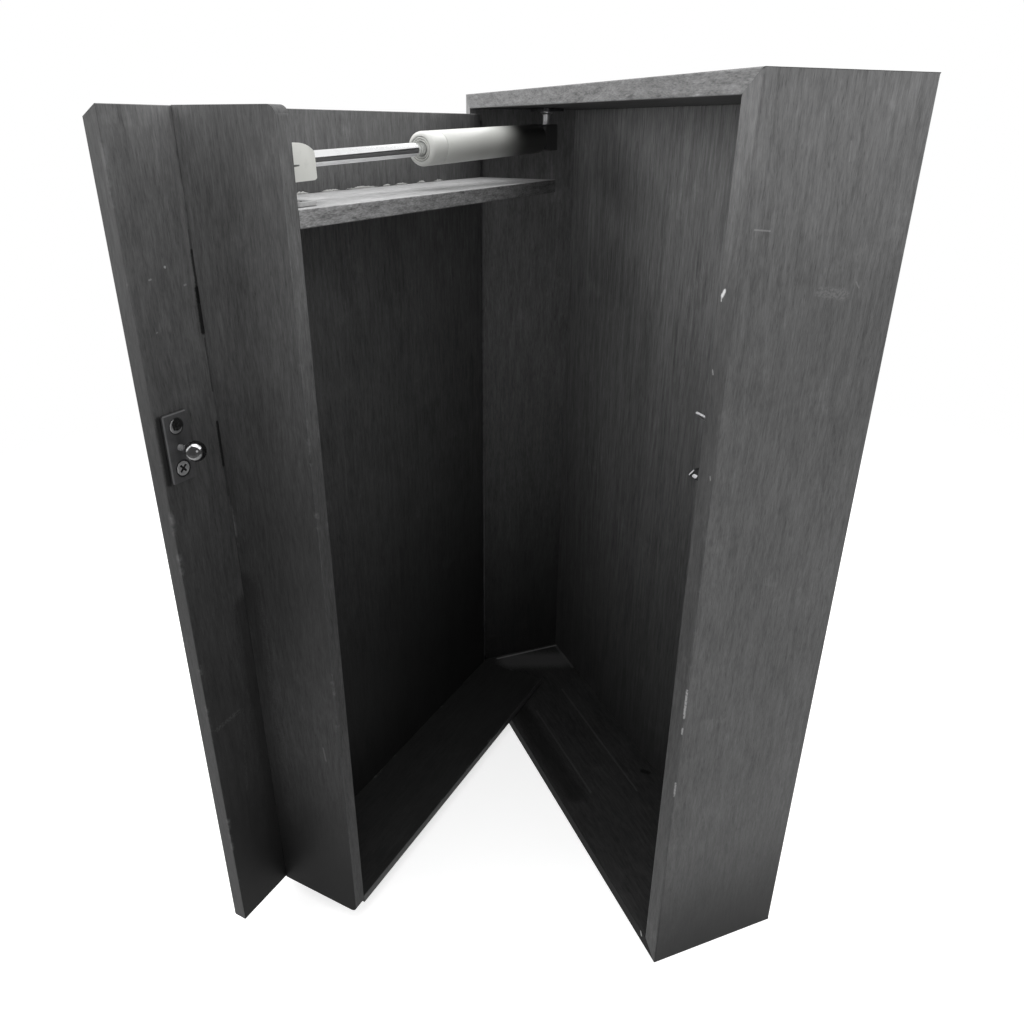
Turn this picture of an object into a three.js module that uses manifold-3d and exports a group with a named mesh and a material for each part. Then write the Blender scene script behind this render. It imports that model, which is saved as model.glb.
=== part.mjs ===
// Concealment shelf: a shallow stained wooden box whose open face is closed by a hinged tray.
// It stands on its end with the tray held open by a gas strut.
// Millimetres, +Z up, origin at the middle of the lower end face.
// Inside the shelf group x runs from the hinge side to the front board,
// y runs from the open rim into the box, and z runs up from the lower end.
import * as THREE from 'three';
import { mergeVertices } from 'three/addons/utils/BufferGeometryUtils.js';
import Module from 'manifold-3d';

const wasm = await Module();
wasm.setup();

// Box
const shelfLength = 480;
const shelfWidth = 327;
const shelfDepth = 85;
const endBoard = 9;
const frontBoard = 12;
const hingeBoard = 8;
const widePanel = 4;

// Hinged tray
const openAngle = THREE.MathUtils.degToRad(49.7);
const doorPanel = 9;
const doorTopGap = 3.5;
const doorBottomGap = 1.2;
const doorFrontGap = 1.2;
const trayInset = 37;
const trayDepth = 58;
const trayBoard = 8;
const trayBottomBoard = 6;
const strutBay = 40;
const rimCorner = 4.5;
const knockedCorner = 5;

// Clearances
const glueLine = 0.3;
const seatGap = 0.25;
const runGap = 0.3;

// Continuous hinge
const hingeGap = 2.2;
const hingeLeafThickness = 0.65;
const hingeLeafWidth = 9;
const hingeEndInset = 4;
const hingePinRadius = 0.95;
const knuckleRadius = 2;
const knuckleLength = 26;
const hingeScrewPitch = 100;
const hingeScrewSize = { head: 2.3, headDepth: 1.2, shank: 0.9, length: 6.4 };

// Gas strut
const strutBallRadius = 5;
const strutNeckRadius = 2.6;
const strutBallHeight = 18;
const boxStudFromHingeBoard = 41;
const boxStudFromRim = 40;
const doorStudFromSideBoard = 13;
const doorStudFromPanel = 39;
const studPlate = { length: 28, width: 14, thickness: 1.8, corner: 3, screwOffset: 9.5 };
const studPlateScrewSize = { head: 2.9, headDepth: 1.6, shank: 1.3, length: 7.4 };
const tubeRadius = 9.25;
const tubeWall = 1.5;
const rodRadius = 3.5;
const rodThreadRadius = 2.9;
const rodExposed = 86;
const capLength = 25;
const capSpigot = 6;
const guideLength = 7;
const sealLength = 4;
const pistonLength = 7;
const plugLength = 9;
const socketReach = 15.3;
const socketHalfWidth = 7.6;
const socketClosedSide = 7.5;
const socketOpenSide = 8.25;
const socketWall = 2.4;
const socketCrown = 4;
const socketCrownReach = 8.6;
const socketFootCorner = 2.2;
const socketMouthRadius = 4.3;
const threadEngagement = 7;

// Strike on the tray panel
const strikeHeight = 321.5;
const strikeFromEdge = 10.5;
const strikePlate = { length: 34, width: 14, thickness: 1.5, corner: 0.8, screwOffset: 10.6 };
const strikeBallRadius = 4.9;
const strikeBallHeight = 12;
const strikeNeckRadius = 1.8;
const strikeScrewSize = { head: 3.6, headDepth: 1.9, shank: 1.4, length: 7.6 };

// Two-jaw catch on the front board, its jaws standing open
const jawOpening = THREE.MathUtils.degToRad(37.5);
const jawSheet = 1.5;
const jawThroat = 7;
const jawLip = 3.9;
const jawShoulder = 2;
const jawHubRadius = 2.7;
const jawPinRadius = 1.25;
const jawPinDepth = 7.9;
const jawPinOffset = 10.7;
const catchWidth = 24;
const catchSheet = 1.2;
const catchMargin = 0.6;
const catchPlateReach = 5;
const catchEarReach = 9;
const jawSpringWire = 0.35;
const jawSpringCurls = 4;
const catchScrewSize = { head: 2.9, headDepth: 1.6, shank: 1.3, length: 9.5 };

// Facets of round forms
const fineSides = 28;
const plainSides = 16;
const smallSides = 10;

// Places worked out from the sizes
const innerRight = shelfWidth - frontBoard;
const innerTop = shelfLength - endBoard;
const doorBottom = endBoard + doorBottomGap;
const doorTop = innerTop - doorTopGap;
const pinX = hingeBoard + hingeGap / 2;
const pinY = -(knuckleRadius + 0.2);
const panelStart = hingeGap / 2;
const panelEnd = innerRight - doorFrontGap - pinX;
const panelOut = -pinY;
const panelIn = panelOut + doorPanel;
const sideBoardOuter = panelEnd - trayInset;
const sideBoardInner = sideBoardOuter - trayBoard;
const trayFoot = panelIn + glueLine;
const trayRim = panelIn + trayDepth;
const crossTop = doorTop - strutBay;

// Colours
const stainedWood = new THREE.MeshStandardMaterial({ color: 0x585859, roughness: 0.75, metalness: 0 });
const zincSteel = new THREE.MeshStandardMaterial({ color: 0x9b9b9c, roughness: 0.4, metalness: 1 });
const darkSteel = new THREE.MeshStandardMaterial({ color: 0x3a3a3b, roughness: 0.5, metalness: 1 });
const chromeSteel = new THREE.MeshStandardMaterial({ color: 0xd6d7d9, roughness: 0.08, metalness: 1 });
const whitePlastic = new THREE.MeshStandardMaterial({ color: 0xd9d9d6, roughness: 0.35, metalness: 0 });
const blackRubber = new THREE.MeshStandardMaterial({ color: 0x191919, roughness: 0.8, metalness: 0 });

const up = new THREE.Vector3(0, 0, 1);

// Merges a shape's shared corners and turns it the right way out
function weld(geometry) {
  const bare = geometry.index ? geometry.toNonIndexed() : geometry.clone();
  for (const name of Object.keys(bare.attributes)) {
    if (name !== 'position') bare.deleteAttribute(name);
  }
  const merged = mergeVertices(bare, 1e-4);
  const corners = merged.index.array;
  const kept = [];
  for (let i = 0; i < corners.length; i += 3) {
    const [a, b, c] = [corners[i], corners[i + 1], corners[i + 2]];
    if (a !== b && b !== c && c !== a) kept.push(a, b, c);
  }
  if (signedVolume(merged.attributes.position, kept) < 0) kept.reverse();
  merged.setIndex(kept);
  return merged;
}

function signedVolume(position, corners) {
  const [a, b, c] = [new THREE.Vector3(), new THREE.Vector3(), new THREE.Vector3()];
  let sum = 0;
  for (let i = 0; i < corners.length; i += 3) {
    a.fromBufferAttribute(position, corners[i]);
    b.fromBufferAttribute(position, corners[i + 1]);
    c.fromBufferAttribute(position, corners[i + 2]);
    sum += a.dot(b.cross(c));
  }
  return sum;
}

function solidOf(geometry) {
  const welded = weld(geometry);
  const vertProperties = new Float32Array(welded.attributes.position.array);
  const triVerts = new Uint32Array(welded.index.array);
  return new wasm.Manifold(new wasm.Mesh({ numProp: 3, vertProperties, triVerts }));
}

function geometryOf(solid) {
  const mesh = solid.getMesh();
  const geometry = new THREE.BufferGeometry();
  geometry.setAttribute('position', new THREE.BufferAttribute(mesh.vertProperties, 3));
  geometry.setIndex(new THREE.BufferAttribute(mesh.triVerts, 1));
  return geometry;
}

// Cuts every tool out of a body
function cut(body, ...tools) {
  let solid = solidOf(body);
  for (const tool of tools) solid = solid.subtract(solidOf(tool));
  return geometryOf(solid);
}

function join(body, ...others) {
  let solid = solidOf(body);
  for (const other of others) solid = solid.add(solidOf(other));
  return geometryOf(solid);
}

function common(body, other) {
  return geometryOf(solidOf(body).intersect(solidOf(other)));
}

// Keeps the part of a body on the inner side of the plane through three points near its corner
function trimmed(body, a, b, c) {
  const plane = new THREE.Plane().setFromCoplanarPoints(a, b, c);
  body.computeBoundingBox();
  if (plane.distanceToPoint(body.boundingBox.getCenter(new THREE.Vector3())) < 0) plane.negate();
  return geometryOf(solidOf(body).trimByPlane(plane.normal.toArray(), -plane.constant));
}

function moved(geometry, x, y, z) {
  return geometry.clone().translate(x, y, z);
}

// Box between two corners
function block(x0, x1, y0, y1, z0, z1) {
  const geometry = new THREE.BoxGeometry(x1 - x0, y1 - y0, z1 - z0);
  return geometry.translate((x0 + x1) / 2, (y0 + y1) / 2, (z0 + z1) / 2);
}

function outline(points) {
  return new THREE.Shape(points.map(([x, y]) => new THREE.Vector2(x, y)));
}

function extruded(shape, depth, curveSegments = 4) {
  return new THREE.ExtrudeGeometry(shape, { depth, bevelEnabled: false, curveSegments });
}

// Outline in x and z, pushed along y from y0 to y1
function alongY(shape, y0, y1, curveSegments) {
  const geometry = extruded(shape, y1 - y0, curveSegments);
  return geometry.rotateX(Math.PI / 2).translate(0, y1, 0);
}

// Outline in y and z, pushed along x from x0 to x1
function alongX(shape, x0, x1, curveSegments) {
  const geometry = extruded(shape, x1 - x0, curveSegments);
  const turn = new THREE.Matrix4().makeBasis(new THREE.Vector3(0, 1, 0), up, new THREE.Vector3(1, 0, 0));
  return geometry.applyMatrix4(turn).translate(x0, 0, 0);
}

// Body of revolution about z from points of radius and height
function turnedZ(profile, sides) {
  const points = profile.map(([radius, height]) => new THREE.Vector2(radius, height));
  return weld(new THREE.LatheGeometry(points, sides).rotateX(Math.PI / 2));
}

// The same about x, where height runs along +x
function turnedX(profile, sides) {
  return turnedZ(profile, sides).rotateY(Math.PI / 2);
}

function rodX(radius, x0, x1, sides) {
  return turnedX([[0, x0], [radius, x0], [radius, x1], [0, x1]], sides);
}

// Points of a ball's side from one height to another
function ballArc(radius, from, to, steps) {
  const start = Math.asin(from / radius);
  const end = Math.asin(to / radius);
  const points = [];
  for (let i = 0; i <= steps; i += 1) {
    const angle = start + (end - start) * i / steps;
    points.push([radius * Math.cos(angle), radius * Math.sin(angle)]);
  }
  return points;
}

function roundedPlate(width, length, corner) {
  const [w, h] = [width / 2, length / 2];
  const shape = new THREE.Shape();
  shape.moveTo(-w + corner, -h);
  shape.lineTo(w - corner, -h);
  shape.absarc(w - corner, -h + corner, corner, -Math.PI / 2, 0);
  shape.lineTo(w, h - corner);
  shape.absarc(w - corner, h - corner, corner, 0, Math.PI / 2);
  shape.lineTo(-w + corner, h);
  shape.absarc(-w + corner, h - corner, corner, Math.PI / 2, Math.PI);
  shape.lineTo(-w, -h + corner);
  shape.absarc(-w + corner, -h + corner, corner, Math.PI, Math.PI * 1.5);
  return shape;
}

// Countersunk screw with its head flush at the origin and its point along -z
function screw(size) {
  const tip = size.shank * 2;
  return turnedZ([
    [0, -size.length],
    [size.shank, tip - size.length],
    [size.shank, -size.headDepth],
    [size.head, -0.25],
    [size.head, 0],
    [0, 0],
  ], smallSides);
}

// The hole that such a screw sits in, open above its head
function screwHole(size) {
  const tip = size.shank * 2;
  return turnedZ([
    [0, -size.length - seatGap],
    [size.shank + seatGap, tip - size.length - seatGap],
    [size.shank + seatGap, -size.headDepth - seatGap],
    [size.head + seatGap, -0.25 - seatGap],
    [size.head + seatGap, 1],
    [0, 1],
  ], smallSides);
}

// Turns a shape's +z to a direction, then moves it to a place
function aimed(geometry, direction, place) {
  const turn = new THREE.Quaternion().setFromUnitVectors(up, direction);
  return geometry.clone().applyQuaternion(turn).translate(place.x, place.y, place.z);
}

const shelf = new THREE.Group();
shelf.position.set(-shelfWidth / 2, -shelfDepth / 2, 0);
const tray = new THREE.Group();
tray.position.set(pinX, pinY, 0);
tray.rotation.z = -openAngle;
shelf.add(tray);

function add(group, name, geometry, material) {
  const mesh = new THREE.Mesh(weld(geometry), material);
  mesh.name = name;
  group.add(mesh);
}

// Adds like pieces under numbered names
function addEach(group, name, geometries, material) {
  geometries.forEach((geometry, i) => add(group, `${name}_${i + 1}`, geometry, material));
}

// Hinge line
const hingeStart = doorBottom + hingeEndInset;
const hingeEnd = doorTop - hingeEndInset;
const knuckleCount = 2 * Math.floor((hingeEnd - hingeStart) / knuckleLength / 2) + 1;
const knuckleStep = (hingeEnd - hingeStart) / knuckleCount;
const hingeScrewCount = Math.floor((hingeEnd - hingeStart) / hingeScrewPitch) + 1;
const hingeScrewHeights = Array.from({ length: hingeScrewCount }, (_, i) => (
  (hingeStart + hingeEnd) / 2 + (i - (hingeScrewCount - 1) / 2) * hingeScrewPitch
));
const hingeScrewDepth = hingeLeafWidth / 2 + 0.5;

// One leaf with every second knuckle; side is -1 for the box and 1 for the tray
function hingeLeaf(side, firstKnuckle) {
  const inner = side * (hingeGap / 2 - seatGap - hingeLeafThickness);
  const outer = side * (hingeGap / 2 - seatGap);
  const [x0, x1] = [Math.min(inner, outer), Math.max(inner, outer)];
  const bore = hingePinRadius + seatGap;
  const parts = [block(x0, x1, panelOut + 0.1, panelOut + hingeLeafWidth, hingeStart, hingeEnd)];
  for (let i = firstKnuckle; i < knuckleCount; i += 2) {
    const z0 = hingeStart + i * knuckleStep + runGap / 2;
    const z1 = z0 + knuckleStep - runGap;
    const ring = [[bore, z0], [knuckleRadius, z0], [knuckleRadius, z1], [bore, z1], [bore, z0]];
    parts.push(turnedZ(ring, plainSides));
    parts.push(block(x0, x1, bore + 0.12, panelOut + 0.2, z0, z1));
  }
  return join(...parts);
}

function hingeScrewPlaces(side) {
  const x = side * (hingeGap / 2 - seatGap - hingeLeafThickness);
  return hingeScrewHeights.map((z) => new THREE.Vector3(x, panelOut + hingeScrewDepth - 0.5, z));
}

const towardBox = new THREE.Vector3(1, 0, 0);
const towardTray = new THREE.Vector3(-1, 0, 0);
const boxHingePlaces = hingeScrewPlaces(-1).map((p) => new THREE.Vector3(p.x + pinX, p.y + pinY, p.z));
const trayHingePlaces = hingeScrewPlaces(1);

function hingeHoles(direction, places) {
  return places.map((place) => aimed(screwHole(hingeScrewSize), direction, place));
}

function screwsAt(size, direction, places) {
  return places.map((place) => aimed(screw(size), direction, place));
}

// Strut ends, in the shelf's own frame
const boxBall = new THREE.Vector3(
  hingeBoard + boxStudFromHingeBoard,
  boxStudFromRim,
  innerTop - strutBallHeight,
);
const doorBallInTray = new THREE.Vector3(
  sideBoardInner - doorStudFromSideBoard,
  panelIn + doorStudFromPanel,
  crossTop + strutBallHeight,
);

// Where the tray's ball stands when the tray is open by an angle
function doorBallAt(angle) {
  const place = doorBallInTray.clone().applyAxisAngle(up, -angle);
  return place.add(new THREE.Vector3(pinX, pinY, 0));
}

const openReach = doorBallAt(openAngle).sub(boxBall);
const closedReach = doorBallAt(0).sub(boxBall);
const strutLength = openReach.length();
const strutHeading = Math.atan2(openReach.y, openReach.x);
const strutSlope = Math.asin(openReach.z / strutLength);
const closedHeading = Math.atan2(closedReach.y, closedReach.x);
const closedLength = Math.hypot(closedReach.x, closedReach.y) / Math.cos(strutSlope);

// The strut turns and slides at steady rates, so the tray's ball strays a little from its socket:
// the result's x is how far toward the tube, y how far toward the tray's panel
function ballStray() {
  const stray = new THREE.Vector2();
  const steps = 40;
  for (let i = 0; i <= steps; i += 1) {
    const share = i / steps;
    const heading = strutHeading + (closedHeading - strutHeading) * share;
    const length = strutLength + (closedLength - strutLength) * share;
    const ball = doorBallAt(openAngle * (1 - share)).sub(boxBall).applyAxisAngle(up, -heading);
    const along = ball.x * Math.cos(strutSlope) + ball.z * Math.sin(strutSlope);
    stray.x = Math.max(stray.x, length - along);
    stray.y = Math.max(stray.y, -ball.y);
  }
  return stray;
}

// Screws that hold a stud's plate, and the plate's own frame: +z away from the board
function studScrewPlaces() {
  const head = glueLine + studPlate.thickness;
  return [-1, 1].map((side) => new THREE.Vector3(side * studPlate.screwOffset, 0, head));
}

function studScrews() {
  return screwsAt(studPlateScrewSize, up, studScrewPlaces());
}

function studHoles() {
  return studScrewPlaces().map((place) => aimed(screwHole(studPlateScrewSize), up, place));
}

const studTenonRadius = strutNeckRadius - 0.6;

function studPlateBody() {
  const shape = roundedPlate(studPlate.length, studPlate.width, studPlate.corner);
  const plate = moved(extruded(shape, studPlate.thickness), 0, 0, glueLine);
  const bore = studTenonRadius + seatGap;
  const hole = turnedZ([[0, -1], [bore, -1], [bore, 5], [0, 5]], plainSides);
  return cut(plate, hole, ...studHoles());
}

// Ball stud riveted through its plate, ball centre at strutBallHeight above the board
function ballStud() {
  const seat = glueLine + studPlate.thickness + seatGap;
  const neckTop = Math.sqrt(strutBallRadius ** 2 - strutNeckRadius ** 2);
  const ball = ballArc(strutBallRadius, -neckTop, strutBallRadius, 9);
  return turnedZ([
    [0, glueLine],
    [studTenonRadius, glueLine],
    [studTenonRadius, seat],
    [strutNeckRadius + 1.6, seat],
    [strutNeckRadius + 1.6, seat + 1.6],
    [strutNeckRadius, seat + 2.4],
    ...ball.map(([radius, height]) => [radius, height + strutBallHeight]),
  ], plainSides);
}

// Hangs a stud's geometry under the top board or stands it on the tray's cross board
function underTopBoard(geometry) {
  return geometry.clone().rotateX(Math.PI).translate(boxBall.x, boxBall.y, innerTop);
}

function onCrossBoard(geometry) {
  const across = geometry.clone().rotateZ(Math.PI / 2);
  return across.translate(doorBallInTray.x, doorBallInTray.y, crossTop);
}

// Strike places in the tray's frame: x along the panel, y away from its inner face
const strikeX = panelEnd - strikeFromEdge;
const away = new THREE.Vector3(0, 1, 0);
const strikeFace = panelIn + glueLine + strikePlate.thickness;
const strikeScrewPlaces = [-1, 1].map((side) => (
  new THREE.Vector3(strikeX, strikeFace, strikeHeight + side * strikePlate.screwOffset)
));
const strikeHoles = strikeScrewPlaces.map((place) => aimed(screwHole(strikeScrewSize), away, place));

function strikePlateBody() {
  const shape = roundedPlate(strikePlate.width, strikePlate.length, strikePlate.corner);
  const plate = alongY(shape, 0, strikePlate.thickness);
  const placed = moved(plate, strikeX, panelIn + glueLine, strikeHeight);
  const bore = strikeNeckRadius - 0.4 + seatGap;
  const hole = turnedZ([[0, -1], [bore, -1], [bore, 3], [0, 3]], plainSides).rotateX(-Math.PI / 2);
  return cut(placed, moved(hole, strikeX, panelIn, strikeHeight), ...strikeHoles);
}

function strikeStud() {
  const face = glueLine + strikePlate.thickness + seatGap;
  const neck = strikeNeckRadius + 0.7;
  const low = Math.sqrt(strikeBallRadius ** 2 - neck ** 2);
  const ball = ballArc(strikeBallRadius, -low, strikeBallRadius, 9);
  const stud = turnedZ([
    [0, glueLine],
    [strikeNeckRadius - 0.4, glueLine],
    [strikeNeckRadius - 0.4, face],
    [strikeNeckRadius + 1, face],
    [strikeNeckRadius, face + 1.2],
    ...ball.map(([radius, height]) => [radius, height + strikeBallHeight]),
  ], plainSides);
  return stud.rotateX(-Math.PI / 2).translate(strikeX, panelIn, strikeHeight);
}

// The ball's place in the box when the tray is closed, which the catch is built round
const caught = new THREE.Vector3(pinX + strikeX, pinY + panelIn + strikeBallHeight, strikeHeight);
const catchFar = innerRight - glueLine - caught.x;
const catchNear = catchFar - catchWidth;
const jawStart = catchNear + catchSheet + runGap;
const jawSpringRadius = jawPinRadius + runGap + jawSpringWire;
const jawSpringLength = jawSpringCurls * jawSpringWire * 2.6;
const jawEnd = catchFar - catchSheet - jawSpringLength - runGap * 2;
const catchBack = jawPinDepth + jawHubRadius + runGap + catchSheet;
const catchFront = jawPinDepth - catchPlateReach;
const catchHalfHeight = jawPinOffset + jawHubRadius + catchMargin;

// Catch parts are made about the caught ball: x across, y inward, z along the shelf
function inCatch(geometry) {
  return moved(geometry, caught.x, caught.y, caught.z);
}

const catchScrewPlaces = [-1, 1].map((side) => new THREE.Vector3(
  catchFar - catchSheet,
  (catchFront + catchBack) / 2,
  side * (catchHalfHeight + catchEarReach / 2),
));
const catchHoles = catchScrewPlaces.map((place) => aimed(screwHole(catchScrewSize), towardTray, place));

// Channel of folded sheet: two plates that carry the pins, a back web, and an ear at each end
function catchBody() {
  const [h, t] = [catchHalfHeight, catchSheet];
  const shell = block(catchNear, catchFar, catchFront, catchBack, -h, h);
  const hollow = block(catchNear + t, catchFar - t, catchFront - 1, catchBack - t, -h - 1, h + 1);
  const ears = block(catchFar - t, catchFar, catchFront, catchBack, -h - catchEarReach, h + catchEarReach);
  const bores = [-1, 1].map((side) => {
    const bore = rodX(jawPinRadius + seatGap, catchNear - 1, catchFar + 1, plainSides);
    return moved(bore, 0, jawPinDepth, side * jawPinOffset);
  });
  return cut(join(cut(shell, hollow), ears), ...bores, ...catchHoles);
}

// Outline of a bent strip of even thickness along a line of points
function strip(points, thickness) {
  const left = [];
  const right = [];
  points.forEach(([x, y], i) => {
    const before = new THREE.Vector2(...points[Math.max(i - 1, 0)]);
    const after = new THREE.Vector2(...points[Math.min(i + 1, points.length - 1)]);
    const here = new THREE.Vector2(x, y);
    const into = (i > 0 ? here.clone().sub(before) : after.clone().sub(here)).normalize();
    const out = (i < points.length - 1 ? after.clone().sub(here) : into.clone()).normalize();
    const normal = new THREE.Vector2(-into.y - out.y, into.x + out.x).normalize();
    const reach = thickness / 2 / (normal.x * -into.y + normal.y * into.x);
    left.push([x + normal.x * reach, y + normal.y * reach]);
    right.unshift([x - normal.x * reach, y - normal.y * reach]);
  });
  return outline([...left, ...right]);
}

// A jaw bent round the ball and hung on its pin, turned open about it; side is 1 for the upper
function jaw(side) {
  const noseDepth = -strikeBallRadius - runGap;
  const noseOffset = (jawThroat + jawSheet) / 2;
  const blade = strip([
    [jawPinDepth, jawPinOffset],
    [-jawShoulder, strikeBallRadius + runGap * 2 + jawSheet * 0.75],
    [noseDepth, noseOffset],
    [noseDepth - jawLip, noseOffset + runGap],
  ], jawSheet);
  const pinLine = moved(rodX(jawHubRadius, jawStart, jawEnd, plainSides), 0, jawPinDepth, jawPinOffset);
  const bore = moved(
    rodX(jawPinRadius + runGap, jawStart - 1, jawEnd + 1, smallSides),
    0,
    jawPinDepth,
    jawPinOffset,
  );
  const closed = cut(join(alongX(blade, jawStart, jawEnd), pinLine), bore);
  closed.translate(0, -jawPinDepth, -jawPinOffset).rotateX(-jawOpening);
  closed.translate(0, jawPinDepth, jawPinOffset);
  return side > 0 ? closed : closed.scale(1, 1, -1);
}

// Torsion spring's coil round a jaw's pin, beside its hub
function jawSpring(side) {
  const stepsPerCurl = 8;
  const steps = jawSpringCurls * stepsPerCurl;
  const start = jawEnd + runGap + jawSpringWire;
  const length = jawSpringLength - jawSpringWire * 2;
  const points = Array.from({ length: steps + 1 }, (_, i) => {
    const angle = i / stepsPerCurl * Math.PI * 2;
    return new THREE.Vector3(
      start + length * i / steps,
      jawPinDepth + jawSpringRadius * Math.cos(angle),
      side * jawPinOffset + jawSpringRadius * Math.sin(angle),
    );
  });
  const section = new THREE.Shape();
  section.absarc(0, 0, jawSpringWire, 0, Math.PI * 2);
  const extrudePath = new THREE.CatmullRomCurve3(points);
  return new THREE.ExtrudeGeometry(section, { steps, extrudePath, curveSegments: 5 });
}

// Strut parts lie along +x from the box ball at the origin to the rod's ball
const rodFace = strutLength - socketReach;
const mouth = rodFace - rodExposed;
const tubeEnd = socketReach + seatGap;
const tubeFront = mouth - capLength;
const boreRadius = tubeRadius - tubeWall;
const spigotEnd = tubeFront - capSpigot;
const guideEnd = spigotEnd - seatGap - guideLength;
const sealEnd = guideEnd - seatGap - sealLength;
const pistonFront = sealEnd - runGap * 2;

// Moulded ball socket with its closed side up, reaching along +x to the rod or tube
function socketBody(outerReach) {
  const [reach, crown, foot] = [socketReach, socketCrown, socketFootCorner];
  const side = new THREE.Shape();
  side.moveTo(-outerReach, -socketOpenSide);
  side.lineTo(reach - foot, -socketOpenSide);
  side.absarc(reach - foot, -socketOpenSide + foot, foot, -Math.PI / 2, 0);
  side.lineTo(reach, socketClosedSide - crown);
  side.absellipse(reach - socketCrownReach, socketClosedSide - crown, socketCrownReach, crown, 0, Math.PI / 2);
  side.lineTo(-outerReach + crown, socketClosedSide);
  side.absarc(-outerReach + crown, socketClosedSide - crown, crown, Math.PI / 2, Math.PI);
  const w = socketHalfWidth;
  const plan = new THREE.Shape();
  plan.moveTo(reach, -w + 2);
  plan.lineTo(reach, w - 2);
  plan.absarc(reach - 2, w - 2, 2, 0, Math.PI / 2);
  plan.lineTo(-outerReach + w, w);
  plan.absarc(-outerReach + w, 0, w, Math.PI / 2, Math.PI * 1.5);
  plan.lineTo(reach - 2, -w);
  plan.absarc(reach - 2, -w + 2, 2, -Math.PI / 2, 0);
  const height = socketOpenSide + socketClosedSide;
  const column = moved(extruded(plan, height + 2, 8), 0, 0, -socketOpenSide - 1);
  const loaf = alongY(side, -w - 1, w + 1, 7);
  const thread = rodX(rodThreadRadius + seatGap, reach - threadEngagement - seatGap, reach + 1, smallSides);
  return cut(common(column, loaf), thread);
}

// Box-end socket: snap fit round the ball, turned over so that it opens upward
function boxSocket() {
  const room = strutBallRadius + runGap;
  const mouthCut = turnedZ([
    [0, -socketOpenSide - 1],
    [socketMouthRadius + 1, -socketOpenSide - 1],
    [socketMouthRadius, -socketOpenSide + 1.2],
    [socketMouthRadius, 0],
    [0, 0],
  ], plainSides);
  const cavity = turnedZ(ballArc(room, -room, room, 10), plainSides);
  const slit = block(-socketHalfWidth - 1, socketHalfWidth + 1, -0.5, 0.5, -socketOpenSide - 1, -3);
  const body = cut(socketBody(room + socketWall), mouthCut, cavity, slit);
  return body.rotateX(Math.PI);
}

// Rod-end socket: its ball chamber runs out toward the tray's panel, where the ball strays
function traySocket() {
  const room = strutBallRadius + runGap;
  const stray = ballStray();
  const edge = Math.max(socketHalfWidth, stray.y + room) + 1;
  const plan = new THREE.Shape();
  plan.moveTo(-room, edge);
  plan.lineTo(-room, 0);
  plan.absarc(0, 0, room, Math.PI, Math.PI * 1.5);
  plan.lineTo(stray.x, -room);
  plan.absarc(stray.x, 0, room, -Math.PI / 2, 0);
  plan.lineTo(stray.x + room, edge);
  const chamber = moved(extruded(plan, room + socketOpenSide + 1, 7), 0, 0, -socketOpenSide - 1);
  const body = cut(socketBody(room + socketWall), chamber);
  return body.rotateZ(Math.PI).translate(strutLength, 0, 0);
}

function strutCap() {
  const bore = rodRadius + runGap;
  const spigot = boreRadius - seatGap;
  const lip = tubeRadius;
  const front = [[bore, 1.6], [bore + 1.1, 1.6], [bore + 1.1, 0.5], [bore + 2.1, 0.5], [bore + 2.1, 1.3]];
  const rim = [[bore + 2.7, 1.3], [bore + 2.7, 0.2], [lip - 2.2, 0], [lip - 1.1, 0.4], [lip - 0.3, 1.4], [lip, 2.8]];
  const back = [[lip, capLength], [spigot, capLength], [spigot, capLength + capSpigot], [bore, capLength + capSpigot]];
  const profile = [...front, ...rim, ...back, front[0]];
  return turnedX(profile.map(([radius, depth]) => [radius, mouth - depth]), fineSides);
}

function strutTube() {
  const start = tubeEnd;
  const end = tubeFront - seatGap;
  return turnedX([
    [boreRadius, start],
    [tubeRadius - 1, start],
    [tubeRadius, start + 1.2],
    [tubeRadius, end],
    [boreRadius, end],
    [boreRadius, start],
  ], fineSides);
}

function ringX(inner, outer, x0, x1, sides) {
  return turnedX([[inner, x0], [outer, x0], [outer, x1], [inner, x1], [inner, x0]], sides);
}

// Plug that closes the tube and carries the box-end socket's thread
function strutPlug() {
  const disc = boreRadius - seatGap;
  const start = socketReach - threadEngagement;
  return turnedX([
    [0, start],
    [rodThreadRadius, start],
    [rodThreadRadius, tubeEnd + 0.6],
    [disc, tubeEnd + 0.6],
    [disc, tubeEnd + plugLength],
    [0, tubeEnd + plugLength],
  ], plainSides);
}

function strutRod() {
  const pistonBack = pistonFront - pistonLength;
  return turnedX([
    [0, pistonBack],
    [rodThreadRadius - 0.5, pistonBack],
    [rodThreadRadius - 0.5, pistonFront + seatGap],
    [rodRadius, pistonFront + seatGap],
    [rodRadius, rodFace - seatGap],
    [rodThreadRadius, rodFace - seatGap],
    [rodThreadRadius, rodFace + threadEngagement],
    [0, rodFace + threadEngagement],
  ], plainSides);
}

// The box
const mitreGap = glueLine * 1.4;
const topEdge = [[0, shelfLength], [shelfWidth, shelfLength], [innerRight, innerTop], [hingeBoard, innerTop]];
const bottomEdge = topEdge.map(([x, z]) => [x, shelfLength - z]).reverse();
const frontEdge = [
  [shelfWidth, mitreGap],
  [shelfWidth, shelfLength - mitreGap],
  [innerRight, innerTop - mitreGap],
  [innerRight, endBoard + mitreGap],
];
const hingeEdge = [
  [0, mitreGap],
  [hingeBoard, endBoard + mitreGap],
  [hingeBoard, innerTop - mitreGap],
  [0, shelfLength - mitreGap],
];
const plateHolesInTop = studHoles().map(underTopBoard);
add(shelf, 'box_top_end_board', cut(alongY(outline(topEdge), 0, shelfDepth), ...plateHolesInTop), stainedWood);
add(shelf, 'box_bottom_end_board', alongY(outline(bottomEdge), 0, shelfDepth), stainedWood);
add(shelf, 'box_front_board', cut(
  alongY(outline(frontEdge), 0, shelfDepth),
  ...catchHoles.map(inCatch),
), stainedWood);
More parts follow.
